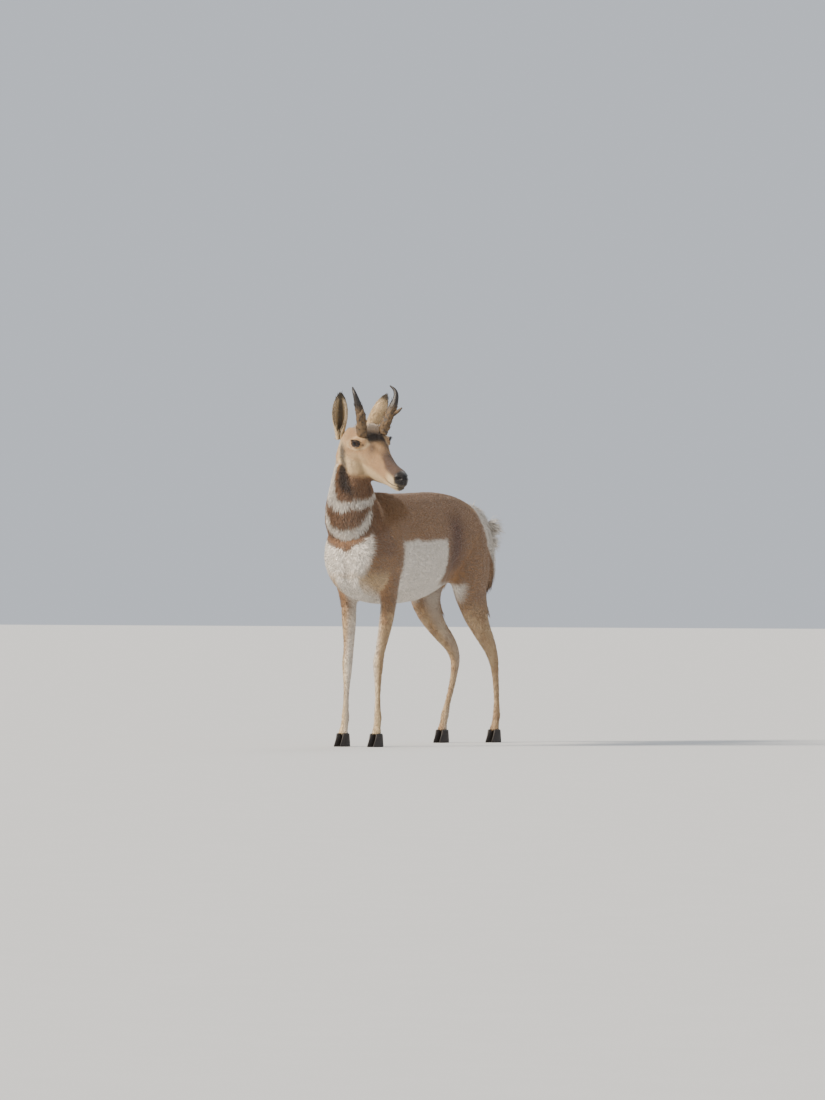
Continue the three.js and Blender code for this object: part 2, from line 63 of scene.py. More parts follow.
# %% [markdown]
# ## Placing things
# The model's origin is the middle of its footprint, so a fixed shift leads from the
# animal's own (ahead, left, up) to the scene. The head has a frame of its own: x runs
# forward along the face, y to its left and z up, starting at the poll.

# %% Places on the animal
SHIFT = np.array([-0.04767, -0.03851, 0.0])
HEAD_SIZE = 1.07
HEAD_PITCH = 30.0
HEAD_YAW = 67.0
HEAD_ROLL = 5.0
HEAD_ORIGIN = (321.0, 5.0, 1112.0)


def place(points):
    """Rows of (ahead, left, up) in mm to scene metres."""
    p = np.atleast_2d(np.asarray(points, float))
    return np.stack([p[:, 1], -p[:, 0], p[:, 2]], 1) / 1000 + SHIFT


def unplace(points):
    """Scene metres back to rows of (ahead, left, up) in mm."""
    p = (np.atleast_2d(points) - SHIFT) * 1000
    return np.stack([-p[:, 1], p[:, 0], p[:, 2]], 1)


head_frame = (
    Matrix.Translation(Vector(place(HEAD_ORIGIN)[0]))
    @ Matrix.Rotation(math.radians(HEAD_YAW - 90), 4, "Z")
    @ Matrix.Rotation(math.radians(HEAD_PITCH), 4, "Y")
    @ Matrix.Rotation(math.radians(HEAD_ROLL), 4, "X")
    @ Matrix.Scale(HEAD_SIZE / 1000, 4)
)
HEAD = np.array(head_frame)
HEAD_BACK = np.linalg.inv(HEAD)


def from_head(points):
    """Rows in the head's own frame to scene metres."""
    p = np.atleast_2d(np.asarray(points, float))
    return p @ HEAD[:3, :3].T + HEAD[:3, 3]


def to_head(points):
    """Scene metres to the head's own frame."""
    return np.atleast_2d(points) @ HEAD_BACK[:3, :3].T + HEAD_BACK[:3, 3]


def head_vector(vectors):
    """Directions in the head's own frame, as scene directions of length 1."""
    v = np.atleast_2d(np.asarray(vectors, float)) @ HEAD[:3, :3].T
    return unit(v)


def unit(v):
    return v / np.maximum(np.linalg.norm(v, axis=1, keepdims=True), 1e-9)


def smooth(x, low, high):
    """0 below low, 1 above high, and a soft step between."""
    t = np.clip((np.asarray(x, float) - low) / (high - low), 0, 1)
    return t * t * (3 - 2 * t)


def hump(x, middle, half):
    """1 at the middle, falling softly to 0 at half away."""
    t = np.clip(1 - ((np.asarray(x, float) - middle) / half) ** 2, 0, 1)
    return t * t


print("head reaches to", np.round(from_head([[303, 0, -50]])[0], 3))

# %% [markdown]
# ## Camera, floor and light
# The photograph was taken from far away with a long lens, level with the animal and
# 30 degrees to the side of straight ahead. A 30 m distance keeps that flat look. The
# frame's middle is a measured point on the picture plane, so that the render and the
# photograph lie over each other.

# %% Camera and floor
VIEW_TURN = math.radians(30)
MM_PER_PIXEL = 3.452
FRAME_HIGH = 1100 * MM_PER_PIXEL
DISTANCE = 30000.0
RIGHT = np.array([math.cos(VIEW_TURN), math.sin(VIEW_TURN), 0])
TOWARDS = np.array([math.sin(VIEW_TURN), -math.cos(VIEW_TURN), 0])
aim = (25.9 * RIGHT + np.array([0, 0, 673.2])) / 1000 + SHIFT
camera_data = bpy.data.cameras.new("camera")
camera_data.lens = 36 * DISTANCE / FRAME_HIGH
camera_data.sensor_width = 36
camera_data.clip_end = 100
camera = bpy.data.objects.new("camera", camera_data)
bpy.context.collection.objects.link(camera)
camera.location = Vector(aim + TOWARDS * DISTANCE / 1000)
camera.rotation_euler = Vector(-TOWARDS).to_track_quat("-Z", "Y").to_euler()
bpy.context.scene.camera = camera
print("lens", round(camera_data.lens, 1), "mm")


def new_object(name, mesh):
    obj = bpy.data.objects.new(name, mesh)
    bpy.context.collection.objects.link(obj)
    return obj


def smooth_object(name, bm, material):
    """A smooth-shaded object made from a bmesh, which is freed."""
    mesh = bpy.data.meshes.new(name)
    bm.to_mesh(mesh)
    bm.free()
    for polygon in mesh.polygons:
        polygon.use_smooth = True
    mesh.materials.append(material)
    return new_object(name, mesh)


def write_values(mesh, name, values):
    """One number for each vertex, which a material reads by that name."""
    layer = mesh.attributes.new(name, "FLOAT", "POINT")
    layer.data.foreach_set("value", values.astype(np.float32))


floor_bm = bmesh.new()
bmesh.ops.create_grid(floor_bm, x_segments=1, y_segments=1, size=40)
floor_mesh = bpy.data.meshes.new("floor")
floor_bm.to_mesh(floor_mesh)
floor_bm.free()
floor = new_object("floor", floor_mesh)
floor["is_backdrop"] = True


# %% Lights
def soft_sun(name, turn, height, width, power, colour):
    """A soft even light from that angle round the animal, height and width in degrees."""
    data = bpy.data.lights.new(name, "SUN")
    data.angle = math.radians(width)
    data.energy = power
    data.color = colour
    light = bpy.data.objects.new(name, data)
    bpy.context.collection.objects.link(light)
    a, e = math.radians(turn), math.radians(height)
    back = Vector((math.sin(a) * math.cos(e), -math.cos(a) * math.cos(e), math.sin(e)))
    light.location = Vector(aim) + back * 5
    light.rotation_euler = back.to_track_quat("Z", "Y").to_euler()


soft_sun("key", -44, 34, 12, 5.8, (1.0, 0.90, 0.76))
soft_sun("rim", 190, 50, 30, 0.7, (1.0, 0.97, 0.93))
world = bpy.data.worlds.new("studio")
world.use_nodes = True
world.node_tree.nodes["Background"].inputs["Color"].default_value = (0.82, 0.87, 0.95, 1)
world.node_tree.nodes["Background"].inputs["Strength"].default_value = 0.75
bpy.context.scene.world = world

# %% [markdown]
# ## Shader helpers
# A material here is written as arithmetic. `Value` wraps one output socket, and each
# operator adds the Math node it stands for, so that a mask reads like a formula.


# %% Shader helpers
class Value:
    """A shader number that can be added, multiplied and compared."""

    def __init__(self, maker, socket):
        self.maker = maker
        self.socket = socket

    def math(self, operation, *others):
        node = self.maker.tree.nodes.new("ShaderNodeMath")
        node.operation = operation
        for slot, value in zip(node.inputs, (self, *others)):
            self.maker.plug(slot, value)
        return Value(self.maker, node.outputs[0])

    def __add__(self, other):
        return self.math("ADD", other)

    def __sub__(self, other):
        return self.math("SUBTRACT", other)

    def __mul__(self, other):
        return self.math("MULTIPLY", other)

    __radd__ = __add__
    __rmul__ = __mul__

    def __rsub__(self, other):
        return (self * -1) + other

    def step(self, low, high):
        """0 below low, 1 above high, soft between."""
        node = self.maker.tree.nodes.new("ShaderNodeMapRange")
        node.interpolation_type = "SMOOTHSTEP"
        self.maker.plug(node.inputs["Value"], self)
        node.inputs["From Min"].default_value = low
        node.inputs["From Max"].default_value = high
        return Value(self.maker, node.outputs["Result"])


class Material:
    """A Principled material, and one method for every other node."""

    def __init__(self, name, **settings):
        self.material = bpy.data.materials.new(name)
        self.material.use_nodes = True
        self.tree = self.material.node_tree
        self.shader = self.tree.nodes["Principled BSDF"]
        for key, value in settings.items():
            self.shader.inputs[key].default_value = value

    def plug(self, slot, value):
        if isinstance(value, Value):
            self.tree.links.new(value.socket, slot)
        elif isinstance(value, tuple) and len(value) == 3 and slot.type == "RGBA":
            slot.default_value = (*value, 1)
        else:
            slot.default_value = value

    def node(self, kind, output=0, settings=(), **inputs):
        """A node of that kind with its settings and inputs, as the value of one output."""
        made = self.tree.nodes.new("ShaderNode" + kind)
        for key, value in dict(settings).items():
            setattr(made, key, value)
        for key, value in inputs.items():
            self.plug(made.inputs[key.replace("_", " ")], value)
        return Value(self, made.outputs[output])

    def attribute(self, name):
        return self.node("Attribute", "Fac", {"attribute_name": name})

    def places(self):
        return self.node("TexCoord", "Object")

    def noise(self, scale, detail=3.0, roughness=0.6, where=None):
        where = where or self.places()
        return self.node("TexNoise", 0, Vector=where, Scale=scale, Detail=detail, Roughness=roughness)

    def stretched(self, x, y, z):
        """Object coordinates scaled by x, y and z."""
        return self.node("Mapping", 0, Vector=self.places(), Scale=(x, y, z))

    def mix(self, share, first, second):
        made = self.tree.nodes.new("ShaderNodeMix")
        made.data_type = "RGBA"
        self.plug(made.inputs[0], share)
        self.plug(made.inputs[6], first)
        self.plug(made.inputs[7], second)
        return Value(self, made.outputs[2])

    def bump(self, height, strength, distance, under=None):
        made = self.tree.nodes.new("ShaderNodeBump")
        made.inputs["Strength"].default_value = strength
        made.inputs["Distance"].default_value = distance
        self.plug(made.inputs["Height"], height)
        if under:
            self.plug(made.inputs["Normal"], under)
        return Value(self, made.outputs[0])

    def finish(self, **inputs):
        for key, value in inputs.items():
            self.plug(self.shader.inputs[key.replace("_", " ")], value)
        return self.material


ground = Material("pale_floor", Roughness=0.9)
speckle = ground.noise(6.0)
floor.data.materials.append(
    ground.finish(Base_Color=ground.mix(speckle, (0.60, 0.60, 0.59), (0.64, 0.64, 0.63)))
)

# %% [markdown]
# ## The skin
# A live animal has one skin, while the model is parted into neck, legs and so on. The
# flesh nodes are copied, swollen a little so that they meet, and voxel remeshed into one
# closed surface, which hides every cut. The face is then subdivided, because eyelids and
# nostrils need smaller faces than a flank does.

# %% One closed surface from the flesh
FLESH = ["torso", "neck", "head", "foreleg_left", "foreleg_right", "hindleg_left", "hindleg_right"]
VOXEL = 0.0056


def joined_bmesh(names, swell):
    """Copies of nodes, welded and moved out along their normals, in one bmesh."""
    whole = bmesh.new()
    for name in names:
        bm = bmesh.new()
        bm.from_mesh(nodes[name].data)
        bmesh.ops.remove_doubles(bm, verts=bm.verts, dist=1e-5)
        bm.normal_update()
        for vert in bm.verts:
            vert.co += vert.normal * swell
        mesh = bpy.data.meshes.new("piece")
        bm.to_mesh(mesh)
        bm.free()
        whole.from_mesh(mesh)
        bpy.data.meshes.remove(mesh)
    return whole


flesh_bm = joined_bmesh(FLESH, 0.0006)
# The eyes' sockets are filled, so that the skin runs over each in a single layer.
EYE_CENTRE = np.array([86.0, 50.0, -27.0])
EYE_RADIUS = 19.5
FILL_RADIUS = (EYE_RADIUS + 0.8) * HEAD_SIZE / 1000
for side in (1, -1):
    filled = bmesh.ops.create_icosphere(flesh_bm, subdivisions=4, radius=FILL_RADIUS)
    for vert in filled["verts"]:
        vert.co += Vector(from_head((EYE_CENTRE * (1, side, 1))[None])[0])
skin_mesh = bpy.data.meshes.new("skin")
flesh_bm.to_mesh(skin_mesh)
flesh_bm.free()
skin = new_object("skin", skin_mesh)
remesh = skin.modifiers.new("one surface", "REMESH")
remesh.mode = "VOXEL"
remesh.voxel_size = VOXEL
bpy.context.view_layer.update()
remeshed = bpy.data.meshes.new_from_object(skin.evaluated_get(bpy.context.evaluated_depsgraph_get()))
skin.modifiers.clear()
skin.data = remeshed
print("skin faces after the remesh:", len(remeshed.polygons))


def coords(mesh):
    co = np.empty(len(mesh.vertices) * 3, np.float32)
    mesh.vertices.foreach_get("co", co)
    return co.reshape(-1, 3).astype(float)


def normals(mesh):
    no = np.empty(len(mesh.vertices) * 3, np.float32)
    mesh.vertex_normals.foreach_get("vector", no)
    return no.reshape(-1, 3).astype(float)


def set_coords(mesh, co):
    mesh.vertices.foreach_set("co", co.astype(np.float32).ravel())
    mesh.update()


def edges_of(mesh):
    pairs = np.empty(len(mesh.edges) * 2, np.int64)
    mesh.edges.foreach_get("vertices", pairs)
    return pairs.reshape(-1, 2)


def relax(mesh, co, weight, rounds):
    """Moves each vertex towards the mean of its neighbours, by its weight."""
    a, b = edges_of(mesh).T
    count = np.bincount(a, minlength=len(co)) + np.bincount(b, minlength=len(co))
    for _ in range(rounds):
        total = np.zeros_like(co)
        for axis in range(3):
            total[:, axis] = np.bincount(a, co[b, axis], len(co)) + np.bincount(b, co[a, axis], len(co))
        mean = total / np.maximum(count, 1)[:, None]
        co = co + (mean - co) * weight[:, None]
    return co


# %% Keep the outer shell and smooth the cuts away
shell_bm = bmesh.new()
shell_bm.from_mesh(skin.data)
islands = []
seen = set()
for vert in shell_bm.verts:
    if vert.index in seen:
        continue
    stack, island = [vert], []
    seen.add(vert.index)
    while stack:
        current = stack.pop()
        island.append(current)
        for edge in current.link_edges:
            other = edge.other_vert(current)
            if other.index not in seen:
                seen.add(other.index)
                stack.append(other)
    islands.append(island)
islands.sort(key=len)
for island in islands[:-1]:
    bmesh.ops.delete(shell_bm, geom=island, context="VERTS")
FACE_START = -40.0
face_faces = []
for face in shell_bm.faces:
    x, y, z = to_head(np.array(face.calc_center_median()))[0]
    if x > FACE_START and abs(y) < 90 and -165 < z < 60:
        face_faces.append(face)
face_edges = list({edge for face in face_faces for edge in face.edges})
bmesh.ops.subdivide_edges(shell_bm, edges=face_edges, cuts=1, use_grid_fill=True)
shell_bm.to_mesh(skin.data)
shell_bm.free()
co = coords(skin.data)
co = relax(skin.data, co, np.full(len(co), 0.5), 5)
print("islands:", len(islands), "vertices:", len(co))

# %% [markdown]
# ## Muscle, bone and folds
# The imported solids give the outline. A real buck also shows the shoulder blade, the
# ribs' curve, the fold of skin in front of the thigh, the hollow before the hip and the
# tendon behind each leg. Each is one soft push along the normal, like a sculpting brush:
# a middle, three reaches and a height.

# %% Soft brushes on the body
# Rows of (ahead, left, up), (reach ahead, left, up) and height, all in mm, for both sides.
BRUSHES = [
    ((232, 120, 730), (60, 60, 110), 7),  # shoulder blade
    ((190, 130, 640), (34, 60, 90), -5),  # hollow behind the shoulder
    ((262, 110, 600), (48, 50, 60), 8),  # upper arm
    ((60, 140, 640), (120, 60, 120), 4),  # ribs
    ((-150, 110, 600), (42, 60, 70), -9),  # flank hollow
    ((-190, 110, 800), (60, 50, 36), 5),  # point of the hip
    ((-300, 120, 700), (90, 60, 100), 7),  # haunch
    ((-262, 110, 560), (60, 60, 80), 5),  # thigh
    ((-395, 80, 560), (30, 60, 90), 5),  # back of the thigh
    ((388, 40, 560), (40, 34, 60), 8),  # breast muscle
    ((400, 0, 600), (40, 16, 90), -6),  # groove of the breast
    ((285, 78, 800), (40, 50, 60), -6),  # hollow of the neck before the shoulder
]
no = normals(skin.data)
spot = unplace(co)
push = np.zeros(len(co))
for middle, reach, height in BRUSHES:
    for side in (1, -1):
        far = (spot - np.array(middle) * (1, side, 1)) / np.array(reach)
        push += height * np.exp(-1.5 * (far**2).sum(1)) * (0.5 if middle[1] == 0 else 1)
co = co + no * push[:, None] / 1000


# %% [markdown]
# ## The face
# The eye sits in an almond opening. Around each eye the skin's distance from the eyeball
# is set from how far a point is from that almond: inside it the skin drops behind the
# ball, at its rim it rises to carry the lid, and outside it dips into a fold.

# %% Lids
EYE_OUT = np.array([0.22, 0.96, 0.10])
LID_LONG = 18.0
LID_HIGH = 9.2


def eye_axes(side):
    """Directions out of the eye, along the lids and up, in the head's frame."""
    out = EYE_OUT * (1, side, 1)
    out = out / np.linalg.norm(out)
    along = np.array([1.0, 0, 0.42])
    along = along - out * along.dot(out)
    along /= np.linalg.norm(along)
    up = np.cross(out, along) * (-side)
    if up[2] < 0:
        up = -up
    return out, along, up


def shape_lids(h, side):
    """Head-frame points with the lids of one eye shaped."""
    out, along, up = eye_axes(side)
    rel = h - EYE_CENTRE * (1, side, 1)
    u, v, w = rel @ along, rel @ up, rel @ out
    near = (np.hypot(u, v) < 46) & (w > -6)
    almond = np.hypot(u / LID_LONG, v / (LID_HIGH * (1 - 0.25 * (u / 24) ** 2)))
    inside = 1 - smooth(almond, 0.86, 1.04)
    ball = np.sqrt(np.maximum(EYE_RADIUS**2 - u**2 - v**2, 0))
    rim = hump(almond, 1.18, 0.3)
    fold = hump(almond, 1.62, 0.3) * (v > -4)
    cover = ball + 4.4
    out_by = np.where(w < cover, cover - w, 0) * (1 - smooth(np.hypot(u, v), 18.5, 24))
    w_new = w + out_by + 1.9 * rim - 0.8 * fold
    w_new = w_new * (1 - inside) + (ball - 5.0) * inside
    change = np.where(near, w_new - w, 0)
    return h + change[:, None] * out


h = to_head(co)
for side in (1, -1):
    h = shape_lids(h, side)

# %% Muzzle: nostrils, lips and chin
x, y, z = h.T
a_y = np.abs(y)
# The nostril is a comma-shaped slit that opens forward and to its side.
slit = np.hypot((x - 288) / 9.5, (z + 44 - 0.35 * (x - 288)) / 5.0)
pit = (1 - smooth(slit, 0.5, 1.15)) * (a_y > 7) * (x > 262)
rim = hump(slit, 1.45, 0.5) * (a_y > 7) * (x > 262)
# The mouth runs back from under the nose, drooping a little, and turns up at its end.
mouth_z = -73 - 5.5 * smooth(x, 300, 262) + 6 * smooth(x, 250, 226)
mouth = np.exp(-(((z - mouth_z) / 2.2) ** 2)) * smooth(x, 222, 236)
upper_lip = np.exp(-(((z - mouth_z - 8) / 6) ** 2)) * smooth(x, 222, 250)
lower_lip = np.exp(-(((z - mouth_z + 7) / 5) ** 2)) * smooth(x, 235, 262)
nose_groove = np.exp(-((y / 2.2) ** 2)) * smooth(x, 288, 298) * smooth(z, -72, -60)
bridge = np.exp(-(((a_y - 17) / 7) ** 2)) * smooth(z, -60, -35)
bridge = bridge * smooth(x, 120, 160) * (1 - smooth(x, 240, 270))
jaw_hollow = np.exp(-(((x - 150) / 38) ** 2 + ((z + 78) / 22) ** 2))
cheek_bone = np.exp(-(((x - 122) / 30) ** 2 + ((z + 52) / 9) ** 2))
chew_muscle = np.exp(-(((x - 52) / 30) ** 2 + ((z + 92) / 34) ** 2)) * (a_y > 20)
push = -6.0 * pit + 1.6 * rim - 3.2 * mouth + 1.6 * upper_lip + 1.8 * lower_lip - 1.6 * nose_groove
push += -2.2 * bridge - 3.0 * jaw_hollow + 2.4 * cheek_bone + 3.0 * chew_muscle
co = from_head(h)
set_coords(skin.data, co)
on_face = smooth(to_head(co)[:, 0], -20, 0) * (np.abs(h[:, 1]) < 80) * (h[:, 2] > -170)
co = co + normals(skin.data) * (push * on_face)[:, None] / 1000
set_coords(skin.data, co)
print("face shaped, vertices on it:", int((on_face > 0.5).sum()))

# %% [markdown]
# ## Ears
# A pronghorn's ear is a pointed leaf, cupped into a tube at its root. Each cross-section
# is an arc of skin a few millimetres thick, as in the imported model, drawn with more points.

# %% Ears
EAR_ROOT = (-10.0, 56.0, -52.0)
EAR_LENGTH = 146.0
EAR_LEAN = {1: (34.0, 78.0, 112.0), -1: (26.0, 6.0, -44.0)}
# Rows of share of the length, radius of the cup, half angle in degrees, thickness.
EAR_ROWS = [
    (-0.1, 13, 166, 9),
    (0.03, 15, 160, 8),
    (0.17, 19, 138, 4),
    (0.34, 24, 110, 3),
    (0.52, 27, 88, 2.6),
    (0.7, 26, 72, 2.4),
    (0.86, 20, 56, 2),
    (0.96, 12, 44, 1.6),
    (1, 5, 40, 1.4),
]


def blend(rows, t):
    """Values between rows of numbers, on a smooth curve through them."""
    rows = np.asarray(rows, float)
    span = len(rows) - 1
    i = min(int(t * span), span - 1)
    f = t * span - i
    p0, p1, p2, p3 = (rows[max(0, min(span, k))] for k in (i - 1, i, i + 1, i + 2))
    straight = 2 * p1 + (p2 - p0) * f
    curved = (2 * p0 - 5 * p1 + 4 * p2 - p3) * f**2 + (3 * p1 - p0 - 3 * p2 + p3) * f**3
    return 0.5 * (straight + curved)


def from_root(root, side, forward, out, up):
    """A place from a root on the head, in the head's heading but upright, as (ahead, left, up)."""
    yaw = math.radians(HEAD_YAW)
    ahead, left, height = unplace(from_head([[root[0], side * root[1], root[2]]]))[0]
    aside = side * out - math.tan(math.radians(HEAD_ROLL)) * up
    return np.array(
        [
            ahead + forward * math.cos(yaw) - aside * math.sin(yaw),
            left + forward * math.sin(yaw) + aside * math.cos(yaw),
            height + up,
        ]
    )


def vector(ahead, left, up):
    return np.array([left, -ahead, up], float)


def ring_mesh(bm, rings):
    """Faces between rings of equally many points, and a face over each end."""
    rows = [[bm.verts.new(Vector(p)) for p in ring] for ring in rings]
    around = len(rows[0])
    for lower, upper in zip(rows, rows[1:]):
        for j in range(around):
            k = (j + 1) % around
            bm.faces.new((lower[j], lower[k], upper[k], upper[j]))
    for row in (rows[0], rows[-1]):
        hub = bm.verts.new(sum((v.co for v in row), Vector()) / around)
        for j in range(around):
            bm.faces.new((row[j], row[(j + 1) % around], hub))


def ear_axes(side):
    """Root, axis, direction across and direction that the cup opens to, in scene directions."""
    forward, out, face = EAR_LEAN[side]
    root = from_root(EAR_ROOT, side, 0, 0, 0)
    tip = from_root(EAR_ROOT, side, forward, out, EAR_LENGTH - 12)
    facing = math.radians(HEAD_YAW + face)
    axis = unit(vector(*(tip - root))[None])[0]
    across = unit(np.cross(axis, vector(math.cos(facing), math.sin(facing), 0))[None])[0]
    return root, axis, across, np.cross(across, axis)


def ear_rings(side, steps=34, arc=14):
    root, axis, across, opening = ear_axes(side)
    rings = []
    for i in range(steps + 1):
        share, radius, half, thickness = blend(EAR_ROWS, i / steps)
        bow = 10 * math.sin(math.pi * max(share, 0))
        middle = place(root)[0] + (axis * share * EAR_LENGTH + opening * (radius - 20 - bow)) / 1000
        ring = []
        for r, way in ((radius, 1), (max(radius - thickness, 0.8), -1)):
            for j in range(arc + 1):
                angle = math.radians(half * (2 * j / arc - 1) * way)
                ring.append(middle + (-opening * math.cos(angle) + across * math.sin(angle)) * r / 1000)
        rings.append(ring)
    return rings


ear_bm = bmesh.new()
for side in (1, -1):
    ring_mesh(ear_bm, ear_rings(side))
bmesh.ops.recalc_face_normals(ear_bm, faces=ear_bm.faces)
ear_count = len(ear_bm.verts)
whole_bm = bmesh.new()
whole_bm.from_mesh(skin.data)
skin_count = len(whole_bm.verts)
ear_mesh = bpy.data.meshes.new("ears")
ear_bm.to_mesh(ear_mesh)
ear_bm.free()
whole_bm.from_mesh(ear_mesh)

# %% Tail
TAIL_ROWS = [
    (-448, 0, 806, 18, 12, 12),
    (-476, 0, 806, 20, 12, 12),
    (-500, 0, 790, 21, 11, 11),
    (-514, 0, 756, 20, 10, 10),
    (-517, 0, 722, 15, 8, 8),
    (-514, 0, 694, 6, 4, 4),
]


def tube_rings(rows, around, steps, turn=0.0, thinner=0.0):
    """Rings of an oval tube through rows of ahead, left, up, side, front and back, as in the model."""
    rings = []
    for i in range(steps + 1):
        t = i / steps
        row = blend(rows, t)
        before, after = blend(rows, max(0, t - 0.01)), blend(rows, min(1, t + 0.01))
        along = unit(vector(*(after[:3] - before[:3]))[None])[0]
        heading = math.radians(turn)
        side = unit(np.cross(along, vector(math.cos(heading), math.sin(heading), 0))[None])[0]
        front = np.cross(side, along)
        ring = []
        for j in range(around):
            a = j / around * 2 * math.pi
            deep = row[4] if math.sin(a) > 0 else row[5]
            at = side * math.cos(a) * (row[3] - thinner) + front * math.sin(a) * (deep - thinner)
            ring.append(place(row[:3])[0] + at / 1000)
        rings.append(ring)
    return rings


tail_bm = bmesh.new()
ring_mesh(tail_bm, tube_rings(TAIL_ROWS, 20, 26, thinner=3))
bmesh.ops.recalc_face_normals(tail_bm, faces=tail_bm.faces)
tail_mesh = bpy.data.meshes.new("tail")
tail_bm.to_mesh(tail_mesh)
tail_bm.free()
whole_bm.from_mesh(tail_mesh)
whole_bm.to_mesh(skin.data)
whole_bm.free()
for polygon in skin.data.polygons:
    polygon.use_smooth = True
print("skin triangles:", sum(len(p.vertices) - 2 for p in skin.data.polygons))

# %% [markdown]
# ## Regions
# The coat differs by place: long on the rump and nape, short on the legs, close on the
# face. Every point of the skin gets soft shares that say which region it is in, and the
# same functions colour the skin and the hair over it, so that the two never disagree.

# %% Regions
NECK_ROWS = [
    (660, 255, 0, 0),
    (730, 292, -6, 5),
    (800, 330, -12, 12),
    (870, 348, -11, 22),
    (940, 350, -8, 35),
    (1000, 344, -4, 50),
    (1050, 336, 2, 62),
    (1085, 330, 8, 67),
]


def neck_polar(spot):
    """Angle round the neck in degrees, 0 at the throat and positive to its left, and reach."""
    table = np.array(NECK_ROWS, float)
    ahead, left, turn = (np.interp(spot[:, 2], table[:, 0], table[:, k]) for k in (1, 2, 3))
    da, dl = spot[:, 0] - ahead, spot[:, 1] - left
    turn = np.radians(turn)
    forward = da * np.cos(turn) + dl * np.sin(turn)
    aside = -da * np.sin(turn) + dl * np.cos(turn)
    return np.degrees(np.arctan2(aside, forward)), np.hypot(forward, aside)


def ear_shares(points):
    """For points on an ear: share of its length, and how far it is turned to the inside of the cup."""
    best = np.full(len(points), -1.0)
    inner = np.zeros(len(points))
    edge = np.zeros(len(points))
    for side in (1, -1):
        root, axis, across, opening = ear_axes(side)
        rel = (points - place(root)[0]) * 1000
        share = rel @ axis / EAR_LENGTH
        rows = np.array(EAR_ROWS)
        radius = np.interp(share, rows[:, 0], rows[:, 1])
        half = np.interp(share, rows[:, 0], rows[:, 2])
        bow = 10 * np.sin(np.pi * np.clip(share, 0, 1))
        cx, cy = rel @ across, rel @ opening - (radius - 20 - bow)
        r = np.hypot(cx, cy)
        angle = np.degrees(np.arctan2(np.abs(cx), -cy))
        hit = (r < radius + 6) & (r > radius - 12) & (angle < half + 14) & (share > -0.12) & (share < 1.08)
        better = hit & (share > best)
        best = np.where(better, share, best)
        inner = np.where(better, (r < radius - 0.8).astype(float), inner)
        edge = np.where(better, angle / np.maximum(half, 1), edge)
    return best, inner, edge


def regions(points, is_ear, is_tail):
    """Soft shares of every region for scene points."""
    spot = unplace(points)
    ahead, left, up = spot.T
    h = to_head(points)
    r = {}
    body = ~(is_ear | is_tail)
    jaw = h[:, 0] + 0.35 * (h[:, 2] + 60)
    r["head"] = smooth(jaw, -22, 6) * (np.abs(h[:, 1]) < 90) * (h[:, 2] > -170) * (h[:, 2] < 70) * body
    # The throat under the jaw belongs to the neck, so that its long hair runs up to there.
    behind_chin = 1 - smooth(h[:, 0] + 0.8 * (h[:, 2] + 110), 110, 180)
    r["head"] = r["head"] * (1 - smooth(-h[:, 2], 102, 124) * behind_chin)
    fore = (ahead > 100) & (up < 520)
    hind = (ahead < -170) & (up < 560)
    r["leg"] = np.where(fore, smooth(up, 500, 420), np.where(hind, smooth(up, 520, 400), 0)) * body
    r["neck"] = (1 - r["head"]) * smooth(up - 0.35 * (300 - ahead), 720, 790) * (ahead > 150) * body
    r["ear"] = is_ear.astype(float)
    r["tail"] = is_tail.astype(float)
    r["torso"] = np.clip(1 - r["head"] - r["leg"] - r["neck"], 0, 1) * body
    return r, spot, h


print("regions ready")

# %% [markdown]
# ## Markings
# A pronghorn is tan above and white below, with a white rump, two white bands across a
# brown throat and, on a buck, a black patch behind the jaw and a dark face. The edges
# are ragged because hairs of both colours overlap, so each edge is moved by a little
# seeded noise before it is drawn.


# %% Seeded noise that any point can ask for
def waves(points, scale, seed):
    """Smooth noise from -1 to 1: a sum of sine waves in seeded directions."""
    rng = np.random.default_rng(seed)
    total = np.zeros(len(points))
    for k in range(9):
        way = unit(rng.normal(size=(1, 3)))[0]
        rate = (1.0 + 0.35 * k) / scale
        total += np.sin(points @ way * rate * 2 * np.pi + rng.uniform(0, 6.28)) / (1 + 0.25 * k)
    return total / 4.2


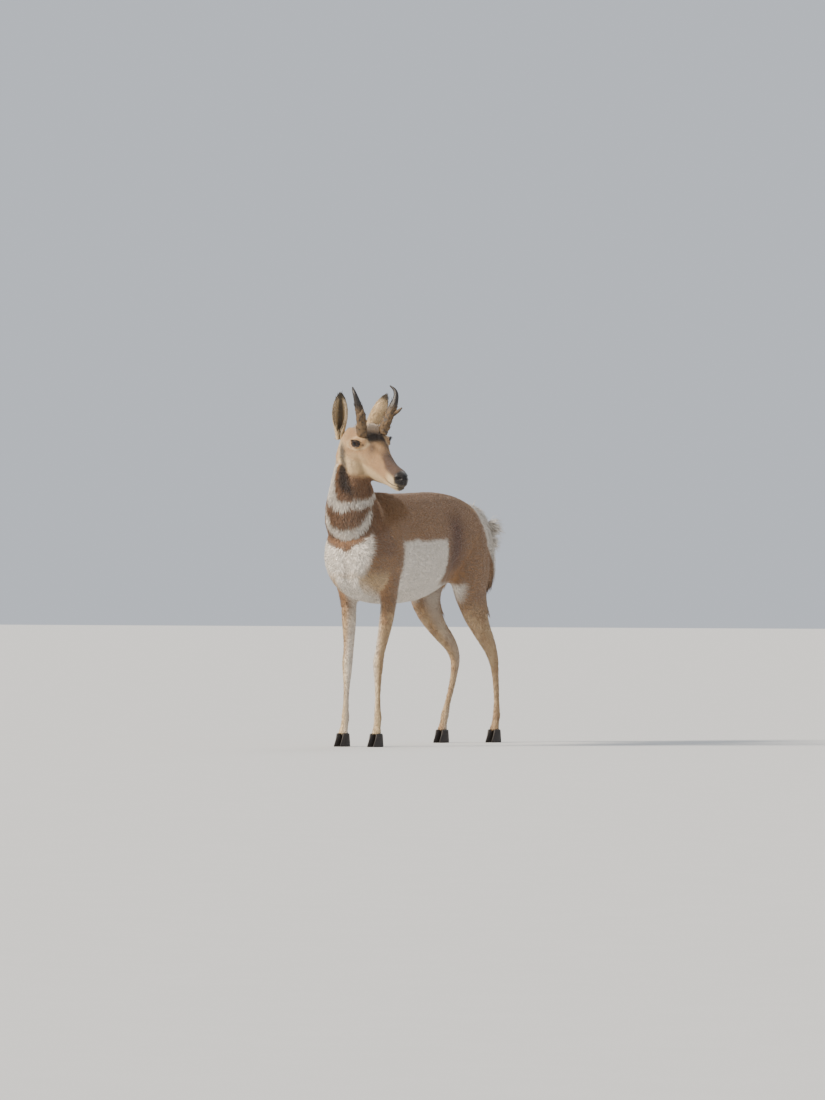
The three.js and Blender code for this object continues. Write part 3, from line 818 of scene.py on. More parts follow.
# %% Where each colour lies
def markings(points, is_ear, is_tail):
    """Shares of every colour in MARKS for scene points, and their regions."""
    r, spot, h = regions(points, is_ear, is_tail)
    ahead, left, up = spot.T
    x, y, z = h.T
    a_y = np.abs(y)
    wide = waves(points, 0.09, 1)
    fine = waves(points, 0.018, 2)
    rough = 7 * wide + 5 * fine
    phi, reach = neck_polar(spot)
    phi = phi + 3 * wide
    a_phi = np.abs(phi)
    m = {}
    # White belly and flank: a square-cut patch between the elbow and the thigh.
    out = np.abs(left)
    top = 704 - 0.02 * (ahead - 240) + rough
    flank = smooth(top - up, -9, 9) * smooth(ahead, -72 + rough, -46 + rough)
    flank = flank * (1 - smooth(ahead, 214 + rough, 246 + rough))
    belly = smooth(556 + rough - up, -14, 14) * (1 - smooth(ahead, 222, 250)) * smooth(ahead, -236, -196)
    between_legs = smooth(590 - up, -14, 14) * (1 - smooth(out + rough, 34, 54)) * smooth(ahead, -280, -240)
    belly = np.maximum(belly, between_legs)
    inner_leg = smooth(56 + 0.02 * up - out, -10, 14) * smooth(590 - up, 0, 90)
    white = np.maximum(flank, belly) * (r["torso"] > 0.02)
    # Throat bands and breast.
    on_front = smooth(ahead + rough, 225, 285) * (1 - r["head"]) * (up > 500)
    bend = (1 - np.cos(np.radians(np.minimum(a_phi, 100)))) / 0.74
    right = smooth(-phi, 5, 40)
    upper_mid = 832 + bend * (30 + 70 * right)
    upper_half = 16 + bend * (-5 + 60 * right)
    lower_mid = 732 + bend * 138
    lower_half = 19 - 4 * bend
    upper = smooth(upper_half - np.abs(up + rough - upper_mid), -5, 6) * (1 - smooth(a_phi, 84, 104))
    lower = smooth(lower_half - np.abs(up + rough - lower_mid), -6, 7) * (1 - smooth(a_phi, 50, 62))
    vee = 668 + np.where(phi > 0, 1.6, 0.85) * a_phi
    edge_at = np.where(phi > 0, 26 + 0.13 * (up - 600), 52)
    # The white breast stops where the chest turns under, and the cream-tan below it is partly painted
    # shade.
    breast = smooth(vee - up + rough, -5, 8) * smooth(up, 560 + rough, 610 + rough)
    breast = breast * (1 - smooth(a_phi - edge_at, -5, 7))
    bands = np.maximum(np.maximum(upper, lower), breast * (ahead > 300)) * on_front
    # The rump patch: an oval round the tail, cut shorter below.
    ring = np.hypot(left / 122, (up - 700) / 150)
    rump = smooth(1.03 + 0.06 * wide - ring, -0.04, 0.05) * smooth(-ahead, 340 + rough, 362 + rough)
    rump = np.where(up < 590, rump * smooth(-ahead, 392, 410), rump)
    m["white"] = np.clip(np.maximum.reduce([white, bands, rump * (1 - r["leg"]), inner_leg * 0.8]), 0, 1)
    m["white"] = np.where(is_ear, 0, m["white"]) * (1 - r["head"])
    m["white"] = np.where(is_tail, 0.85, m["white"])
    # Cream: legs, lower cheek, lips, round the eyes and ears, and the low breast, which is partly tan
    # mottling and partly painted shade under the chest.
    cream_leg = r["leg"] * (0.35 + 0.3 * wide)
    under = smooth(-z + 4 * wide + 3 * fine, 103, 122) * (1 - smooth(x + 0.8 * (z + 110), 150, 215))
    lower_cheek = smooth(-62 - 0.08 * x - z + 3 * fine, -10, 12) * smooth(x, 34, 62) * (1 - under)
    lips = smooth(x, 226, 262) * smooth(-46 - z + 2 * fine, -6, 10)
    behind_eye = np.exp(-(((x - 36) / 24) ** 2 + ((z + 66) / 20) ** 2)) * 0.8
    ring_eye = np.zeros(len(points))
    for side in (1, -1):
        _, along, upward = eye_axes(side)
        rel = h - EYE_CENTRE * (1, side, 1)
        around = np.hypot(rel @ along / LID_LONG, rel @ upward / LID_HIGH)
        below = 1 - 0.5 * smooth(rel @ upward, 0, 8)
        ring_eye = np.maximum(ring_eye, hump(around, 2.1, 0.5) * below * (y * side > 15))
    below_eye = np.exp(-(((x - 116) / 30) ** 2 + ((z + 62) / 13) ** 2)) * 0.55
    cream_head = np.maximum.reduce([lower_cheek * 0.8, lips, behind_eye, below_eye, ring_eye * 0.7])
    cream_head = np.clip(cream_head, 0, 1) * r["head"]
    neck_side = 0.35 * smooth(-phi, 60, 90) * (1 - smooth(-phi, 120, 150)) * on_front * smooth(up, 860, 900)
    # Half cream on the low breast: partly tan mottling, partly painted shade under the chest.
    low_breast_cream_and_shade = smooth(600 - up, -20, 30) * (ahead > 300) * 0.5
    ear_root = np.exp(-(((x + 4) / 26) ** 2 + ((a_y - 52) / 20) ** 2 + ((z + 70) / 30) ** 2)) * 1.2
    ear_back = is_ear * 0.7
    m["cream"] = np.clip(cream_leg + cream_head + neck_side + low_breast_cream_and_shade + ear_root + ear_back, 0, 1)
    # Brown: the saddle, and the throat between the white bands.
    saddle = smooth(up + 0.05 * ahead + rough, 740, 860) * r["torso"] * 0.75
    throat = on_front * (1 - smooth(a_phi, 58, 92)) * smooth(up, 640, 690) * 0.75
    throat = throat * (1 - smooth(-phi, 25, 55) * smooth(up, 880, 930))
    m["brown"] = np.clip(np.maximum(saddle, throat * (1 - r["head"]) + under * (x > 0) * 0.75), 0, 1)
    # Rust: the dark red-brown edge of the haunch beside the white flank.
    haunch = np.exp(-(((ahead + 130 + 0.1 * (up - 640)) / 62) ** 2))
    haunch = haunch * smooth(up, 560, 640) * (1 - smooth(up, 740, 840))
    m["rust"] = np.clip(haunch * r["torso"] * 0.9, 0, 1)
    # Black: cheek patch, forehead band, nose, lids, mouth line and ear rims.
    patch_line = 74 - 1.1 * (z + 85)
    patch = np.exp(-(((x - patch_line - 4 * fine) / 21) ** 4)) * smooth(-52 - z + 3 * fine, -6, 14)
    patch = patch * (1 - smooth(-z + 4 * fine, 146, 170)) * smooth(a_y, 12, 26)
    band = np.exp(-(((x - 105 - 0.04 * a_y) / 17) ** 4)) * (1 - smooth(a_y, 26, 38)) * smooth(z, -36, -18)
    nose = smooth(x + 0.25 * (z + 50) + 2 * fine, 270, 282) * smooth(z, -72, -60)
    front = smooth(x + 2 * fine, 284, 294) * smooth(z, -100, -92)
    lid = np.zeros(len(points))
    for side in (1, -1):
        out_way, along, upward = eye_axes(side)
        rel = h - EYE_CENTRE * (1, side, 1)
        almond = np.hypot(rel @ along / LID_LONG, rel @ upward / LID_HIGH)
        tear = np.exp(-(((rel @ along - 27) / 8) ** 2 + ((rel @ upward + 4) / 3.2) ** 2))
        here = (rel @ out_way > 4) & (np.abs(rel).max(1) < 46)
        lid = np.maximum(lid, np.maximum(1 - smooth(almond, 1.0, 1.25), 0.8 * tear) * here)
    mouth_z = -73 - 5.5 * smooth(x, 300, 262) + 6 * smooth(x, 250, 226)
    mouth = np.exp(-(((z - mouth_z) / 2.6) ** 2)) * smooth(x, 226, 244) * 0.85
    lower_lip = np.exp(-(((z - mouth_z + 6) / 4.5) ** 2)) * smooth(x, 262, 284) * 0.55
    share, inner, edge = ear_shares(points)
    rim = smooth(edge, 0.90, 0.98) * 0.45 + smooth(share, 0.74, 0.92) * 0.9
    cup = inner * (1 - smooth(edge, 0.12, 0.5)) * 0.85
    ear_black = np.clip(np.maximum(rim * (share > 0.2), cup), 0, 1) * is_ear
    m["black"] = np.maximum.reduce([patch * 0.85, band * 0.9, nose, front * 0.9, lid, mouth, lower_lip])
    m["black"] = m["black"] * np.maximum(r["head"], (x > -40) * (1 - is_ear) * (patch > 0.1))
    m["black"] = np.clip(np.maximum(m["black"], ear_black), 0, 1)
    m["nose"] = nose * r["head"]
    # Dark brown: the bridge of the nose, widening to the nose itself.
    bridge_half = 18 + 16 * smooth(x, 180, 250)
    bridge = smooth(bridge_half - a_y + 3 * wide + 2 * fine, -7, 7) * smooth(x, 140, 190)
    bridge = bridge * smooth(z, -56, -40)
    corner = np.exp(-(((x - 136) / 17) ** 2 + ((a_y - 30) / 11) ** 2)) * smooth(z, -50, -30) * 0.75
    lore = np.exp(-(((x - 240) / 34) ** 2 + ((z + 36) / 10) ** 2)) * 0.5
    m["dark"] = np.clip(np.maximum.reduce([bridge * 0.95, lore, corner]) * r["head"], 0, 1)
    # Grey: the rough tuft on the crown between the horns, and inside the ears.
    crown = np.exp(-(((x - 64) / 30) ** 2)) * (1 - smooth(a_y, 32, 46)) * smooth(z, -26, -8)
    m["grey"] = np.clip(crown * r["head"] * 0.85 + inner * smooth(edge, 0.35, 0.6) * is_ear * 0.4, 0, 1)
    return m, r


MARKS = ("white", "cream", "brown", "rust", "black", "dark", "grey", "nose")


def paint(mesh, points, is_ear, is_tail, tone):
    """Stores the markings of each vertex as attributes of the mesh."""
    m, r = markings(points, is_ear, is_tail)
    for name in MARKS:
        write_values(mesh, name, m[name])
    write_values(mesh, "tone", tone)
    return m, r


co = coords(skin.data)
order = np.arange(len(co))
is_ear = (order >= skin_count) & (order < skin_count + ear_count)
is_tail = order >= skin_count + ear_count
r, spot, h = regions(co, is_ear, is_tail)
# The skin lies inside the model by the depth of the coat over it.
DEPTH = {"torso": 7.0, "neck": 7.0, "leg": 2.2, "head": 1.6, "ear": 0.0, "tail": 0.0}
depth = sum(DEPTH[name] * r[name] for name in DEPTH)
co = co - normals(skin.data) * depth[:, None] / 1000
set_coords(skin.data, co)
skin_marks, skin_regions = paint(skin.data, co, is_ear, is_tail, waves(co, 0.05, 5))
print("white share of the skin:", round(float(skin_marks["white"].mean()), 3))

# %% [markdown]
# ## Coat colours
# One shader colours skin and hair. Each marking is mixed over the tan in turn, so that
# the black of the face lies over the cream, as dark hairs do on the animal. Fine noise
# lightens and darkens single hairs.

# %% Coat material
TAN = (0.480, 0.285, 0.135)
COLOURS = {
    "brown": (0.245, 0.132, 0.068),
    "rust": (0.120, 0.050, 0.026),
    "cream": (0.740, 0.560, 0.325),
    "white": (0.800, 0.730, 0.640),
    "dark": (0.090, 0.050, 0.034),
    "grey": (0.430, 0.370, 0.310),
    "black": (0.014, 0.010, 0.009),
}


def coat_material(name, roughness, fine_scale):
    made = Material(name, Roughness=roughness)
    colour = made.mix(0.0, TAN, TAN)
    for mark, shade in COLOURS.items():
        colour = made.mix(made.attribute(mark), colour, shade)
    tone = made.attribute("tone")
    hairs = made.noise(fine_scale, 4.0, 0.7)
    shade = (tone * 0.09 + hairs * 0.5 + 0.68).math("MAXIMUM", 0.3)
    colour = made.mix(1.0, colour, colour)
    multiply = made.tree.nodes[-1]
    multiply.blend_type = "MULTIPLY"
    grey = made.node("CombineColor", 0, Red=shade, Green=shade, Blue=shade)
    made.plug(multiply.inputs[7], grey)
    made.shader.inputs["Sheen Weight"].default_value = 0.25
    made.shader.inputs["Sheen Roughness"].default_value = 0.5
    made.shader.inputs["Specular IOR Level"].default_value = 0.25
    return made, colour, hairs


skin_material, skin_colour, skin_hairs = coat_material("skin_coat", 0.85, 260.0)
wet = skin_material.attribute("nose")
strands = skin_material.noise(900.0, 2.0, 0.6)
height = strands * 0.5 + skin_hairs * 0.7
pores = skin_material.node("TexVoronoi", 0, Vector=skin_material.places(), Scale=420.0)
height = height * (1 - wet) + pores * wet
skin.data.materials.append(
    skin_material.finish(
        Base_Color=skin_colour,
        Roughness=0.85 - wet * 0.5,
        Normal=skin_material.bump(height, 0.35, 0.0012),
    )
)
hair_material, hair_colour, _ = coat_material("hair", 0.7, 420.0)
hair = hair_material.finish(Base_Color=hair_colour)

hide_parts(*FLESH, "ear_left", "ear_right", "tail")
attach(skin, "root")

# %% [markdown]
# ## The lie of the coat
# Hair points away from the nose: back over the face and neck, back and down over the
# body, straight down the legs, and out and down on the rump. The field gives a direction
# at every root, which is then laid in the plane of the skin.


# %% Lie, length and width of the hair
def lie_field(spot, h, r):
    """Direction of the hair for each root, before it is laid in the skin's plane."""
    count = len(spot)
    back = np.tile(vector(-1, 0, -0.28), (count, 1))
    down = np.tile(vector(-0.12, 0, -1), (count, 1))
    neck = np.tile(vector(-0.25, 0, -1), (count, 1))
    face = head_vector(np.tile((-1.0, 0.0, -0.12), (count, 1)))
    outward = np.stack([spot[:, 1], np.zeros(count), spot[:, 2] - 790], 1) / 110
    outward[:, 1] += 0.4
    rump = smooth(-spot[:, 0], 350, 410)[:, None] * (r["torso"] > 0.5)[:, None]
    ear = np.zeros((count, 3))
    for side in (1, -1):
        near = (h[:, 1] * side > 0)[:, None]
        ear = np.where(near, ear_axes(side)[1], ear)
    lie = back * r["torso"][:, None] * (1 - rump) + outward * rump
    lie = lie + down * r["leg"][:, None] + neck * r["neck"][:, None] + face * r["head"][:, None]
    lie = lie + ear * r["ear"][:, None] + np.array([0, 0.25, -1]) * r["tail"][:, None]
    return lie, rump[:, 0]


# Length, width and lift of a tuft in mm and radians, and tufts per square metre.
KINDS = {
    "torso": (15, 1.9, 0.10, 74000),
    "neck": (18, 2.1, 0.20, 90000),
    "leg": (9, 1.5, 0.12, 80000),
    "head": (6.5, 1.1, 0.16, 190000),
    "ear": (8, 1.0, 0.22, 110000),
    "tail": (15, 2.2, 0.16, 110000),
}


def skin_samples(mesh, density, rng):
    """Random roots on the mesh: positions, normals and the face corners and weights they came from."""
    mesh.calc_loop_triangles()
    tris = np.empty(len(mesh.loop_triangles) * 3, np.int64)
    mesh.loop_triangles.foreach_get("vertices", tris)
    tris = tris.reshape(-1, 3)
    at = coords(mesh)
    no = normals(mesh)
    corner = at[tris]
    first, second = corner[:, 1] - corner[:, 0], corner[:, 2] - corner[:, 0]
    area = np.linalg.norm(np.cross(first, second), axis=1) / 2
    expected = area * density[tris].mean(1)
    drawn = rng.poisson(expected)
    face = np.repeat(np.arange(len(tris)), drawn)
    a, b = rng.random(len(face)), rng.random(len(face))
    flip = a + b > 1
    a[flip], b[flip] = 1 - a[flip], 1 - b[flip]
    weight = np.stack([1 - a - b, a, b], 1)[:, :, None]
    corners = tris[face]
    return (at[corners] * weight).sum(1), unit((no[corners] * weight).sum(1)), corners, weight


rng = np.random.default_rng(11)
THIN = 1.0
density = sum(KINDS[name][3] * skin_regions[name] for name in KINDS) * THIN
density = density * (1 - 0.9 * skin_marks["nose"])
roots, root_normals, corners, weight = skin_samples(skin.data, density, rng)
root_is_ear = is_ear[corners[:, 0]]
root_is_tail = is_tail[corners[:, 0]]
root_regions, root_spot, root_h = regions(roots, root_is_ear, root_is_tail)
near_eye = np.minimum(*(np.linalg.norm(root_h - EYE_CENTRE * (1, s, 1), axis=1) for s in (1, -1)))
keep = (near_eye > EYE_RADIUS + 4.5) & (root_spot[:, 2] > 46)
roots, root_normals = roots[keep], root_normals[keep]
root_is_ear, root_is_tail = root_is_ear[keep], root_is_tail[keep]
root_regions = {name: v[keep] for name, v in root_regions.items()}
root_spot, root_h = root_spot[keep], root_h[keep]
print("tufts:", len(roots))

# %% Sizes of each tuft
lie, rump = lie_field(root_spot, root_h, root_regions)
lie = lie + 0.07 * rng.normal(size=lie.shape)
lie = unit(lie - root_normals * (lie * root_normals).sum(1, keepdims=True))
length, width, lift = (sum(KINDS[n][k] * root_regions[n] for n in KINDS) for k in range(3))
phi, _ = neck_polar(root_spot)
nape = root_regions["neck"] * smooth(np.abs(phi), 150, 172) * smooth(root_spot[:, 2], 860, 950)
throat = root_regions["neck"] * (1 - smooth(np.abs(phi), 40, 75)) * smooth(root_spot[:, 2], 700, 760)
crown = np.exp(-(((root_h[:, 0] - 62) / 30) ** 2)) * (np.abs(root_h[:, 1]) < 34) * (root_h[:, 2] > -24)
crown = crown * root_regions["head"]
_, inner, edge = ear_shares(roots)
fringe = root_regions["ear"] * inner * smooth(edge, 0.4, 0.8)
length = length * (1 + 1.6 * nape + 2.2 * rump + 0.3 * throat + 3.4 * crown + 0.9 * fringe)
lift = lift + 0.30 * nape + 0.26 * rump + 0.10 * throat + 0.85 * crown + 0.3 * fringe
width = width * (1 + 0.5 * nape + 0.5 * rump + 0.4 * crown)
muzzle = root_regions["head"] * smooth(root_h[:, 0], 150, 250)
length = length * (1 - 0.45 * muzzle)
length = length * rng.uniform(0.75, 1.2, len(length))
lift = lift * rng.uniform(0.6, 1.4, len(lift))

# %% [markdown]
# ## Tufts
# Each tuft is a thin three-sided spike bent once, with its root sunk in the skin. All of
# them are built together as arrays of points and faces, and joined into a few meshes.

# %% Build the tufts
# Each tuft's square of the unwrap, as a share of its width.
PATCH_SIZE = 0.003


def tuft_mesh(name, index):
    """One mesh of the tufts with those indexes, with markings and the OFBake map."""
    p, n, t = roots[index], root_normals[index], lie[index]
    s = np.cross(n, t)
    long, wide, rise = (v[index][:, None] / k for v, k in ((length, 1000), (width, 1000), (lift, 1)))
    base = p - n * long * 0.08
    middle = p + t * long * 0.5 * np.cos(rise) + n * long * 0.62 * np.sin(rise)
    tip = p + t * long * np.cos(rise * 0.7) + n * long * 0.85 * np.sin(rise * 0.8)
    points = np.stack(
        [
            base - s * wide / 2,
            base + s * wide / 2,
            base + n * wide * 0.45,
            middle - s * wide * 0.42,
            middle + s * wide * 0.42,
            middle + n * wide * 0.34,
            tip,
        ],
        1,
    )
    lower_sides = [[0, 1, 4], [0, 4, 3], [1, 2, 5], [1, 5, 4], [2, 0, 3], [2, 3, 5]]
    point_sides = [[3, 4, 6], [4, 5, 6], [5, 3, 6]]
    root_end = [[0, 2, 1]]
    faces = np.array(lower_sides + point_sides + root_end)
    count = len(index)
    all_faces = (faces[None] + 7 * np.arange(count)[:, None, None]).reshape(-1, 3)
    mesh = bpy.data.meshes.new(name)
    mesh.vertices.add(count * 7)
    mesh.vertices.foreach_set("co", points.reshape(-1).astype(np.float32))
    mesh.loops.add(len(all_faces) * 3)
    mesh.loops.foreach_set("vertex_index", all_faces.reshape(-1).astype(np.int32))
    mesh.polygons.add(len(all_faces))
    mesh.polygons.foreach_set("loop_start", np.arange(0, len(all_faces) * 3, 3, dtype=np.int32))
    mesh.update(calc_edges=True)
    m, _ = markings(p, root_is_ear[index], root_is_tail[index])
    for mark in MARKS:
        write_values(mesh, mark, np.repeat(m[mark], 7))
    tone = rng.normal(size=count) * 0.8
    write_values(mesh, "tone", np.repeat(tone, 7))
    # The unwrap: angle round the piece's axis and height or distance along it.
    spot = root_spot[index]
    upright = spot[:, 2].max() - spot[:, 2].min() > np.ptp(spot[:, 0])
    run, across = (2, 0) if upright else (0, 2)
    middle_of = spot.mean(0)
    around = np.arctan2(spot[:, 1] - middle_of[1], spot[:, across] - middle_of[across])
    along = (spot[:, run] - spot[:, run].min()) / np.ptp(spot[:, run])
    uv = 0.01 + 0.98 * np.stack([around / (2 * np.pi) + 0.5, along], 1)
    patch = np.array([[0, 0], [1, 0], [0.5, 0.3], [0, 0.6], [1, 0.6], [0.5, 0.8], [0.5, 1]]) - 0.5
    loops = (uv[:, None] + patch[None] * PATCH_SIZE)[:, faces].reshape(-1, 2)
    layer = mesh.uv_layers.new(name="OFBake")
    layer.data.foreach_set("uv", loops.reshape(-1).astype(np.float32))
    obj = new_object(name, mesh)
    mesh.materials.append(hair)
    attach(obj, "root")
    return count


groups = {}
names = list(root_regions)
share = np.stack([root_regions[name] for name in names], 1)
main = share.argmax(1)
for k, name in enumerate(names):
    groups[name] = np.nonzero(main == k)[0]
legs = groups.pop("leg")
for label, ahead_side in (("fore", root_spot[legs, 0] > 0), ("hind", root_spot[legs, 0] <= 0)):
    for hand, left_side in (("left", root_spot[legs, 1] > 0), ("right", root_spot[legs, 1] <= 0)):
        groups[f"leg_{label}_{hand}"] = legs[ahead_side & left_side]
ears = groups.pop("ear")
groups["ear_left"] = ears[root_h[ears, 1] > 0]
groups["ear_right"] = ears[root_h[ears, 1] <= 0]
# A piece stays under 200,000 triangles, at ten to a tuft.
MOST = 19500
total = 0
for name, index in groups.items():
    index = index[np.argsort(root_spot[index, 0])]
    parts = max(1, math.ceil(len(index) / MOST))
    for k, part in enumerate(np.array_split(index, parts)):
        if len(part):
            total += tuft_mesh(f"coat_{name}_{k + 1}" if parts > 1 else f"coat_{name}", part)
print("tufts built:", total, "triangles:", total * 10)

# %% [markdown]
# ## Eyes
# A pronghorn's eye is very large, dark brown and wet, with a wide pupil. The clear bulge
# over it is part of one smooth ball here: the shine comes from a low roughness and a
# clear coat, and the iris is a slightly lighter ring that only shows close up.

# %% Eyes
IRIS_LONG = 13.5
IRIS_HIGH = 11.0
eye_material = Material("eye", Roughness=0.06)
across_iris = eye_material.attribute("iris")
fibres = eye_material.noise(900.0, 3.0)
iris = eye_material.mix(fibres, (0.030, 0.014, 0.007), (0.040, 0.020, 0.010))
pupil = eye_material.mix(across_iris.step(0.42, 0.5), (0.002, 0.002, 0.002), iris)
sclera = eye_material.mix(across_iris.step(0.92, 1.0), pupil, (0.020, 0.012, 0.010))
eye_material.shader.inputs["Specular IOR Level"].default_value = 0.1
eye_material.shader.inputs["Coat Weight"].default_value = 0.5
eye_material.shader.inputs["Coat Roughness"].default_value = 0.02
eye_finish = eye_material.finish(Base_Color=sclera)
for side, name in ((1, "eye_left"), (-1, "eye_right")):
    out, along, up = eye_axes(side)
    eye_bm = bmesh.new()
    bmesh.ops.create_uvsphere(eye_bm, u_segments=48, v_segments=32, radius=EYE_RADIUS)
    at = np.array([v.co for v in eye_bm.verts])
    # The sphere's pole turns to face out of the eye, and a low dome rises round it.
    rise = 1 + 0.05 * np.clip(at[:, 2] / EYE_RADIUS - 0.72, 0, 1) / 0.28
    turned = (at[:, :1] * along + at[:, 1:2] * up + at[:, 2:] * out) * rise[:, None]
    for vert, place_at in zip(eye_bm.verts, from_head(turned + EYE_CENTRE * (1, side, 1))):
        vert.co = place_at
    # The left eye's axes are a mirror image, which turns its faces inwards.
    if side > 0:
        bmesh.ops.reverse_faces(eye_bm, faces=eye_bm.faces)
    eye_bm.normal_update()
    eye = smooth_object(name + "_ball", eye_bm, eye_finish)
    value = np.hypot(at[:, 0] / IRIS_LONG, at[:, 1] / IRIS_HIGH)
    write_values(eye.data, "iris", np.where(at[:, 2] > 0, value, 2))
    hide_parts(name)
    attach(eye, "root")

# %% [markdown]
# ## Eyelids
# The lids are thick, bare and nearly black, and the upper one carries long lashes. Each
# pair is one closed ring that follows the almond opening over the ball, so its edge is
# smooth however coarse the skin behind it is.

# %% Lids and lashes
lid_material = Material("lid", Roughness=0.5)
creases = lid_material.noise(500.0, 3.0, 0.6)
lid_finish = lid_material.finish(
    Base_Color=lid_material.mix(creases, (0.008, 0.006, 0.005), (0.040, 0.028, 0.022)),
    Normal=lid_material.bump(creases, 0.4, 0.0006),
)
LID_STEPS = 72
LID_AROUND = 12
LASHES = 34
LASH_LONG = 7.5


def lid_point(side, angle):
    """A point of the almond on the ball and the way out of the ball there, in the head's frame."""
    out, along, up = eye_axes(side)
    u = (LID_LONG + 0.6) * math.cos(angle)
    v = (LID_HIGH + 0.6) * (1 - 0.25 * (u / 24) ** 2) * math.sin(angle)
    w = math.sqrt(max(EYE_RADIUS**2 - u * u - v * v, 30))
    rel = u * along + v * up + w * out
    return rel, rel / np.linalg.norm(rel)


for side, name in ((1, "lids_left"), (-1, "lids_right")):
    lid_bm = bmesh.new()
    lid_verts = []
    for i in range(LID_STEPS):
        angle = i / LID_STEPS * 2 * math.pi
        rel, away = lid_point(side, angle)
        later = lid_point(side, angle + 0.02)[0]
        forward_way = unit((later - rel)[None])[0]
        in_way = np.cross(away, forward_way)
        upper = max(math.sin(angle), 0)
        thick = 2.0 + 1.0 * upper
        ring = []
        for j in range(LID_AROUND):
            turn = j / LID_AROUND * 2 * math.pi
            outward = away * (0.9 + thick * 0.75 * math.sin(turn))
            offset = outward + in_way * thick * 1.25 * math.cos(turn)
            at = from_head((EYE_CENTRE * (1, side, 1) + rel + offset)[None])[0]
            ring.append(lid_bm.verts.new(at))
        lid_verts.append(ring)
    for i in range(LID_STEPS):
        ring, later = lid_verts[i], lid_verts[(i + 1) % LID_STEPS]
        for j in range(LID_AROUND):
            k = (j + 1) % LID_AROUND
            lid_bm.faces.new((ring[j], ring[k], later[k], later[j]))
    # Lashes stand out and forward from the upper lid.
    for i in range(LASHES):
        angle = math.pi * (0.12 + 0.76 * i / (LASHES - 1))
        rel, away = lid_point(side, angle)
        _, along, up = eye_axes(side)
        root = EYE_CENTRE * (1, side, 1) + rel + away * 2.4 + up * 0.8
        lash = []
        for t, w in ((0, 0.5), (0.5, 0.4), (1, 0.06)):
            sweep = along * (2.5 * t + 1.2 * math.sin(i * 2.3)) * t
            middle = root + away * LASH_LONG * t + sweep + up * (1.4 * t * t - 1.6 * t)
            back = middle - along * w * 0.5
            section = [middle + along * w, back + up * w * 0.8, back - up * w * 0.8]
            lash.append(from_head(np.array(section)))
        ring_mesh(lid_bm, lash)
    bmesh.ops.recalc_face_normals(lid_bm, faces=lid_bm.faces)
    lid_object = smooth_object(name, lid_bm, lid_finish)
    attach(lid_object, "root")

# %% [markdown]
# ## Horns
# Each horn is a dark sheath over a bony core, shed every year. On this young buck the
# upper horn is smooth and black and hooks back, while the lower half still wears ragged,
# brownish sheath that stands off in flakes round a short forward prong.

# %% Horns
HORN_ROOT = (79.0, 43.0, 8.0)
HORN_HIGH = 154
HORN_AROUND = 28
HORN_STEPS = 90
PRONG_STEPS = 30
FLAKES = 60
# Rows of forward, out, up, side, front, back.
HORN_ROWS = [
    (-4, -5, -10, 14.5, 21, 19),
    (0, 0, 6, 15.5, 22, 20),
    (10, 6, 30, 15, 22, 18),
    (20, 15, 58, 14.5, 21, 16),
    (28, 26, 84, 13, 18, 14),
    (33, 34, 104, 10.5, 12, 12),
    (32, 39, 124, 8, 9.5, 9),
    (24, 39, 141, 5.5, 6.5, 6),
    (10, 32, HORN_HIGH, 2.2, 2.6, 2.6),
]
PRONG_ROWS = [
    (18, 16, 52, 9, 9, 9),
    (38, 23, 60, 8, 9, 9),
    (53, 30, 68, 5.5, 7, 6),
    (65, 36, 78, 2, 2.5, 2.5),
]
horn_material = Material("horn", Roughness=0.5)
up_horn = horn_material.attribute("up_horn")
grain = horn_material.noise(1.0, 5.0, 0.65, horn_material.stretched(420, 420, 60))
flaky = horn_material.noise(90.0, 4.0, 0.7)
dark_horn = horn_material.mix(grain, (0.010, 0.008, 0.007), (0.045, 0.034, 0.028))
old_sheath = horn_material.mix(grain, (0.085, 0.046, 0.020), (0.250, 0.160, 0.078))
share_old = (1 - (up_horn + (flaky - 0.5) * 0.5).step(0.42, 0.66)) * flaky.step(0.34, 0.56)
horn_finish = horn_material.finish(
    Base_Color=horn_material.mix(share_old, dark_horn, old_sheath),
    Roughness=0.42 + share_old * 0.35,
    Normal=horn_material.bump(grain + flaky * share_old, 0.6, 0.0015),
)


def horn_rows(side, rows):
    placed = []
    for forward, out, up, wide, front, back in rows:
        placed.append((*from_root(HORN_ROOT, side, forward, out, up), wide, front, back))
    return placed


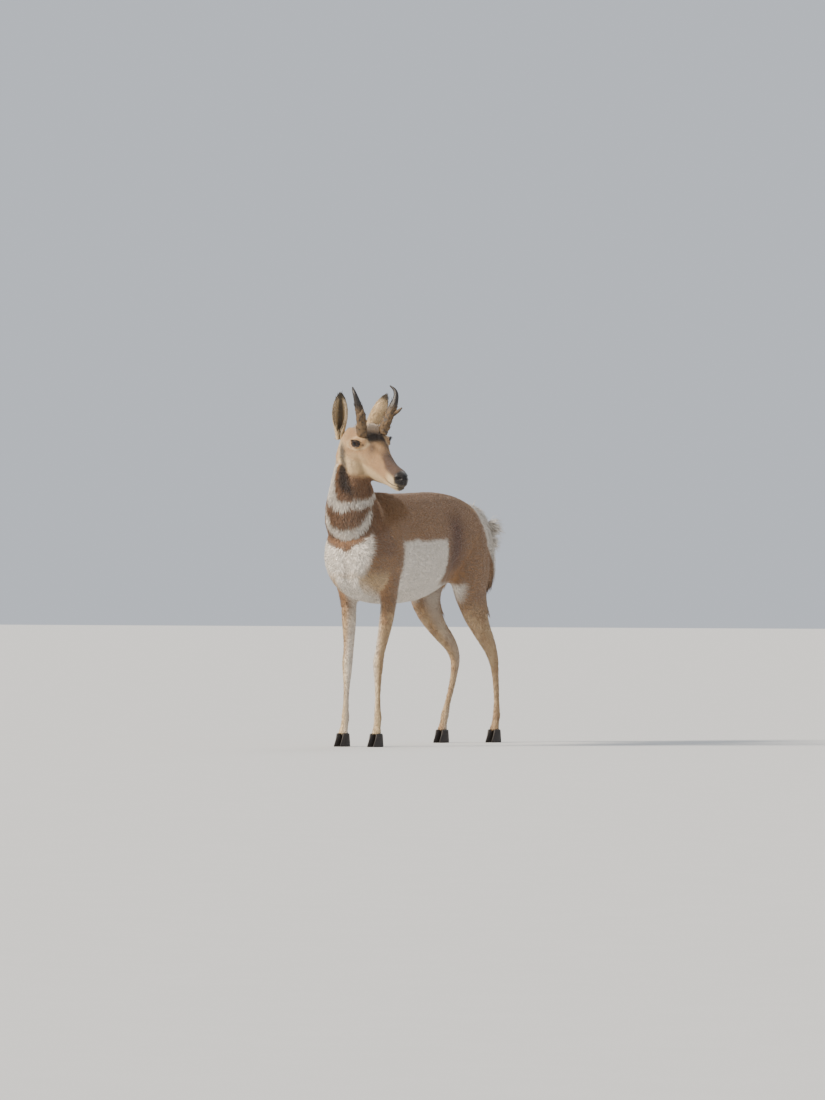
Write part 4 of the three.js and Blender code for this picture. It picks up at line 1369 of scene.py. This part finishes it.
for side, name in ((1, "horn_left"), (-1, "horn_right")):
    horn_bm = bmesh.new()
    for rows, steps, first in ((HORN_ROWS, HORN_STEPS, 0.0), (PRONG_ROWS, PRONG_STEPS, 0.35)):
        rings = np.array(tube_rings(horn_rows(side, rows), HORN_AROUND, steps, turn=HEAD_YAW))
        centre = rings.mean(1, keepdims=True)
        flat = rings.reshape(-1, 3)
        height = np.repeat(np.linspace(first, 1 if first == 0 else 0.8, steps + 1), HORN_AROUND)
        angle = np.tile(np.arange(HORN_AROUND) / HORN_AROUND * 2 * np.pi, steps + 1)
        ridge = 0.030 * np.sin(angle * 9 + 2.0 * waves(flat, 0.03, 21)) + 0.05 * waves(flat, 0.022, 23)
        torn = np.clip(waves(flat, 0.012, 25), 0, 1) * 0.20 * (1 - smooth(height, 0.45, 0.62))
        scale = 0.97 + (ridge + torn) * (1 - 0.6 * smooth(height, 0.55, 0.9))
        rings = centre + (rings - centre) * scale.reshape(steps + 1, HORN_AROUND, 1)
        ring_mesh(horn_bm, rings)
        stem = rings if first == 0 else stem
    # Loose flakes of old sheath, each a thin curled blade that starts on the horn.
    flake_rng = np.random.default_rng(31 + side)
    for k in range(FLAKES):
        i = int(flake_rng.uniform(0.10, 0.56) * HORN_STEPS)
        j = int(flake_rng.integers(HORN_AROUND))
        up_way = unit((stem.mean(1)[i + 4] - stem.mean(1)[i])[None])[0]
        radial = unit((stem[i, j] - stem.mean(1)[i])[None])[0]
        across_way = np.cross(radial, up_way)
        start = stem[i, j] - radial * 0.0008
        size = flake_rng.uniform(8, 17) / 1000
        wide = flake_rng.uniform(3, 6) / 1000
        curl = flake_rng.uniform(0.06, 0.28)
        flakes = []
        for t, w in ((0, 1.0), (0.4, 0.9), (0.75, 0.6), (1, 0.1)):
            middle = start + up_way * size * t + radial * size * curl * t * t
            flakes.append(
                [
                    middle - across_way * wide * w / 2,
                    middle + radial * 0.0006,
                    middle + across_way * wide * w / 2,
                    middle - radial * 0.0006,
                ]
            )
        ring_mesh(horn_bm, flakes)
    bmesh.ops.recalc_face_normals(horn_bm, faces=horn_bm.faces)
    sheath = smooth_object(name + "_sheath", horn_bm, horn_finish)
    at = unplace(coords(sheath.data))
    low = from_root(HORN_ROOT, side, 0, 0, 0)[2]
    write_values(sheath.data, "up_horn", (at[:, 2] - low) / HORN_HIGH)
    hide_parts(name)
    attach(sheath, "root")

# %% [markdown]
# ## Hooves
# Each foot stands on two narrow pointed claws. The wall grows down in faint rings, and
# its edge at the ground is a little worn, so the outline is rounded there.

# %% Hooves
CORONET = 42.0
CLAW_APART = 12.2
CLAW_STEPS = 30
CLAW_AROUND = 36
hoof_material = Material("hoof", Roughness=0.5)
growth = hoof_material.noise(1.0, 3.0, 0.6, hoof_material.stretched(30, 30, 330))
scuffs = hoof_material.noise(130.0, 4.0, 0.7)
hoof_finish = hoof_material.finish(
    Base_Color=hoof_material.mix(scuffs * growth, (0.014, 0.011, 0.010), (0.075, 0.058, 0.045)),
    Roughness=0.4 + scuffs * 0.3,
    Normal=hoof_material.bump(growth + scuffs * 0.4, 0.5, 0.0012),
)
FEET = {
    "fore_left": (312, 66),
    "fore_right": (312, -66),
    "hind_left": (-502, 69),
    "hind_right": (-378, -70),
}
CLAW_ROWS = [
    (0, -22, 34, 9.5),
    (1.2, -24, 37.5, 11),
    (4, -25, 38.5, 11.6),
    (20, -23, 28, 11.4),
    (34, -21, 20, 11.2),
    (CORONET + 1.5, -19, 16, 10.4),
    (CORONET + 4, -14, 11, 7),
]
for foot, (ahead, left) in FEET.items():
    for where, shift in (("outer", CLAW_APART), ("inner", -CLAW_APART)):
        middle_left = left + math.copysign(1, left) * shift
        rings = []
        for i in range(CLAW_STEPS + 1):
            up, heel, toe, half = blend(CLAW_ROWS, i / CLAW_STEPS)
            ring = []
            for j in range(CLAW_AROUND):
                angle = j / CLAW_AROUND * 2 * math.pi
                c = math.cos(angle)
                narrow = 1 - 0.55 * c * c if c > 0 else 1 - 0.2 * c * c
                out = middle_left + half * math.sin(angle) * narrow
                ring.append(place((ahead + (toe if c > 0 else -heel) * c, out, max(up, 0)))[0])
            rings.append(ring)
        claw_bm = bmesh.new()
        ring_mesh(claw_bm, rings)
        bmesh.ops.recalc_face_normals(claw_bm, faces=claw_bm.faces)
        claw = smooth_object(f"hoof_{foot}_{where}", claw_bm, hoof_finish)
        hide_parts(f"claw_{foot}_{where}")
        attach(claw, "root")

# %% Measure and finish
lowest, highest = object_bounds()
size = {"low": [round(v, 4) for v in lowest], "high": [round(v, 4) for v in highest]}
print("bounds:", size)
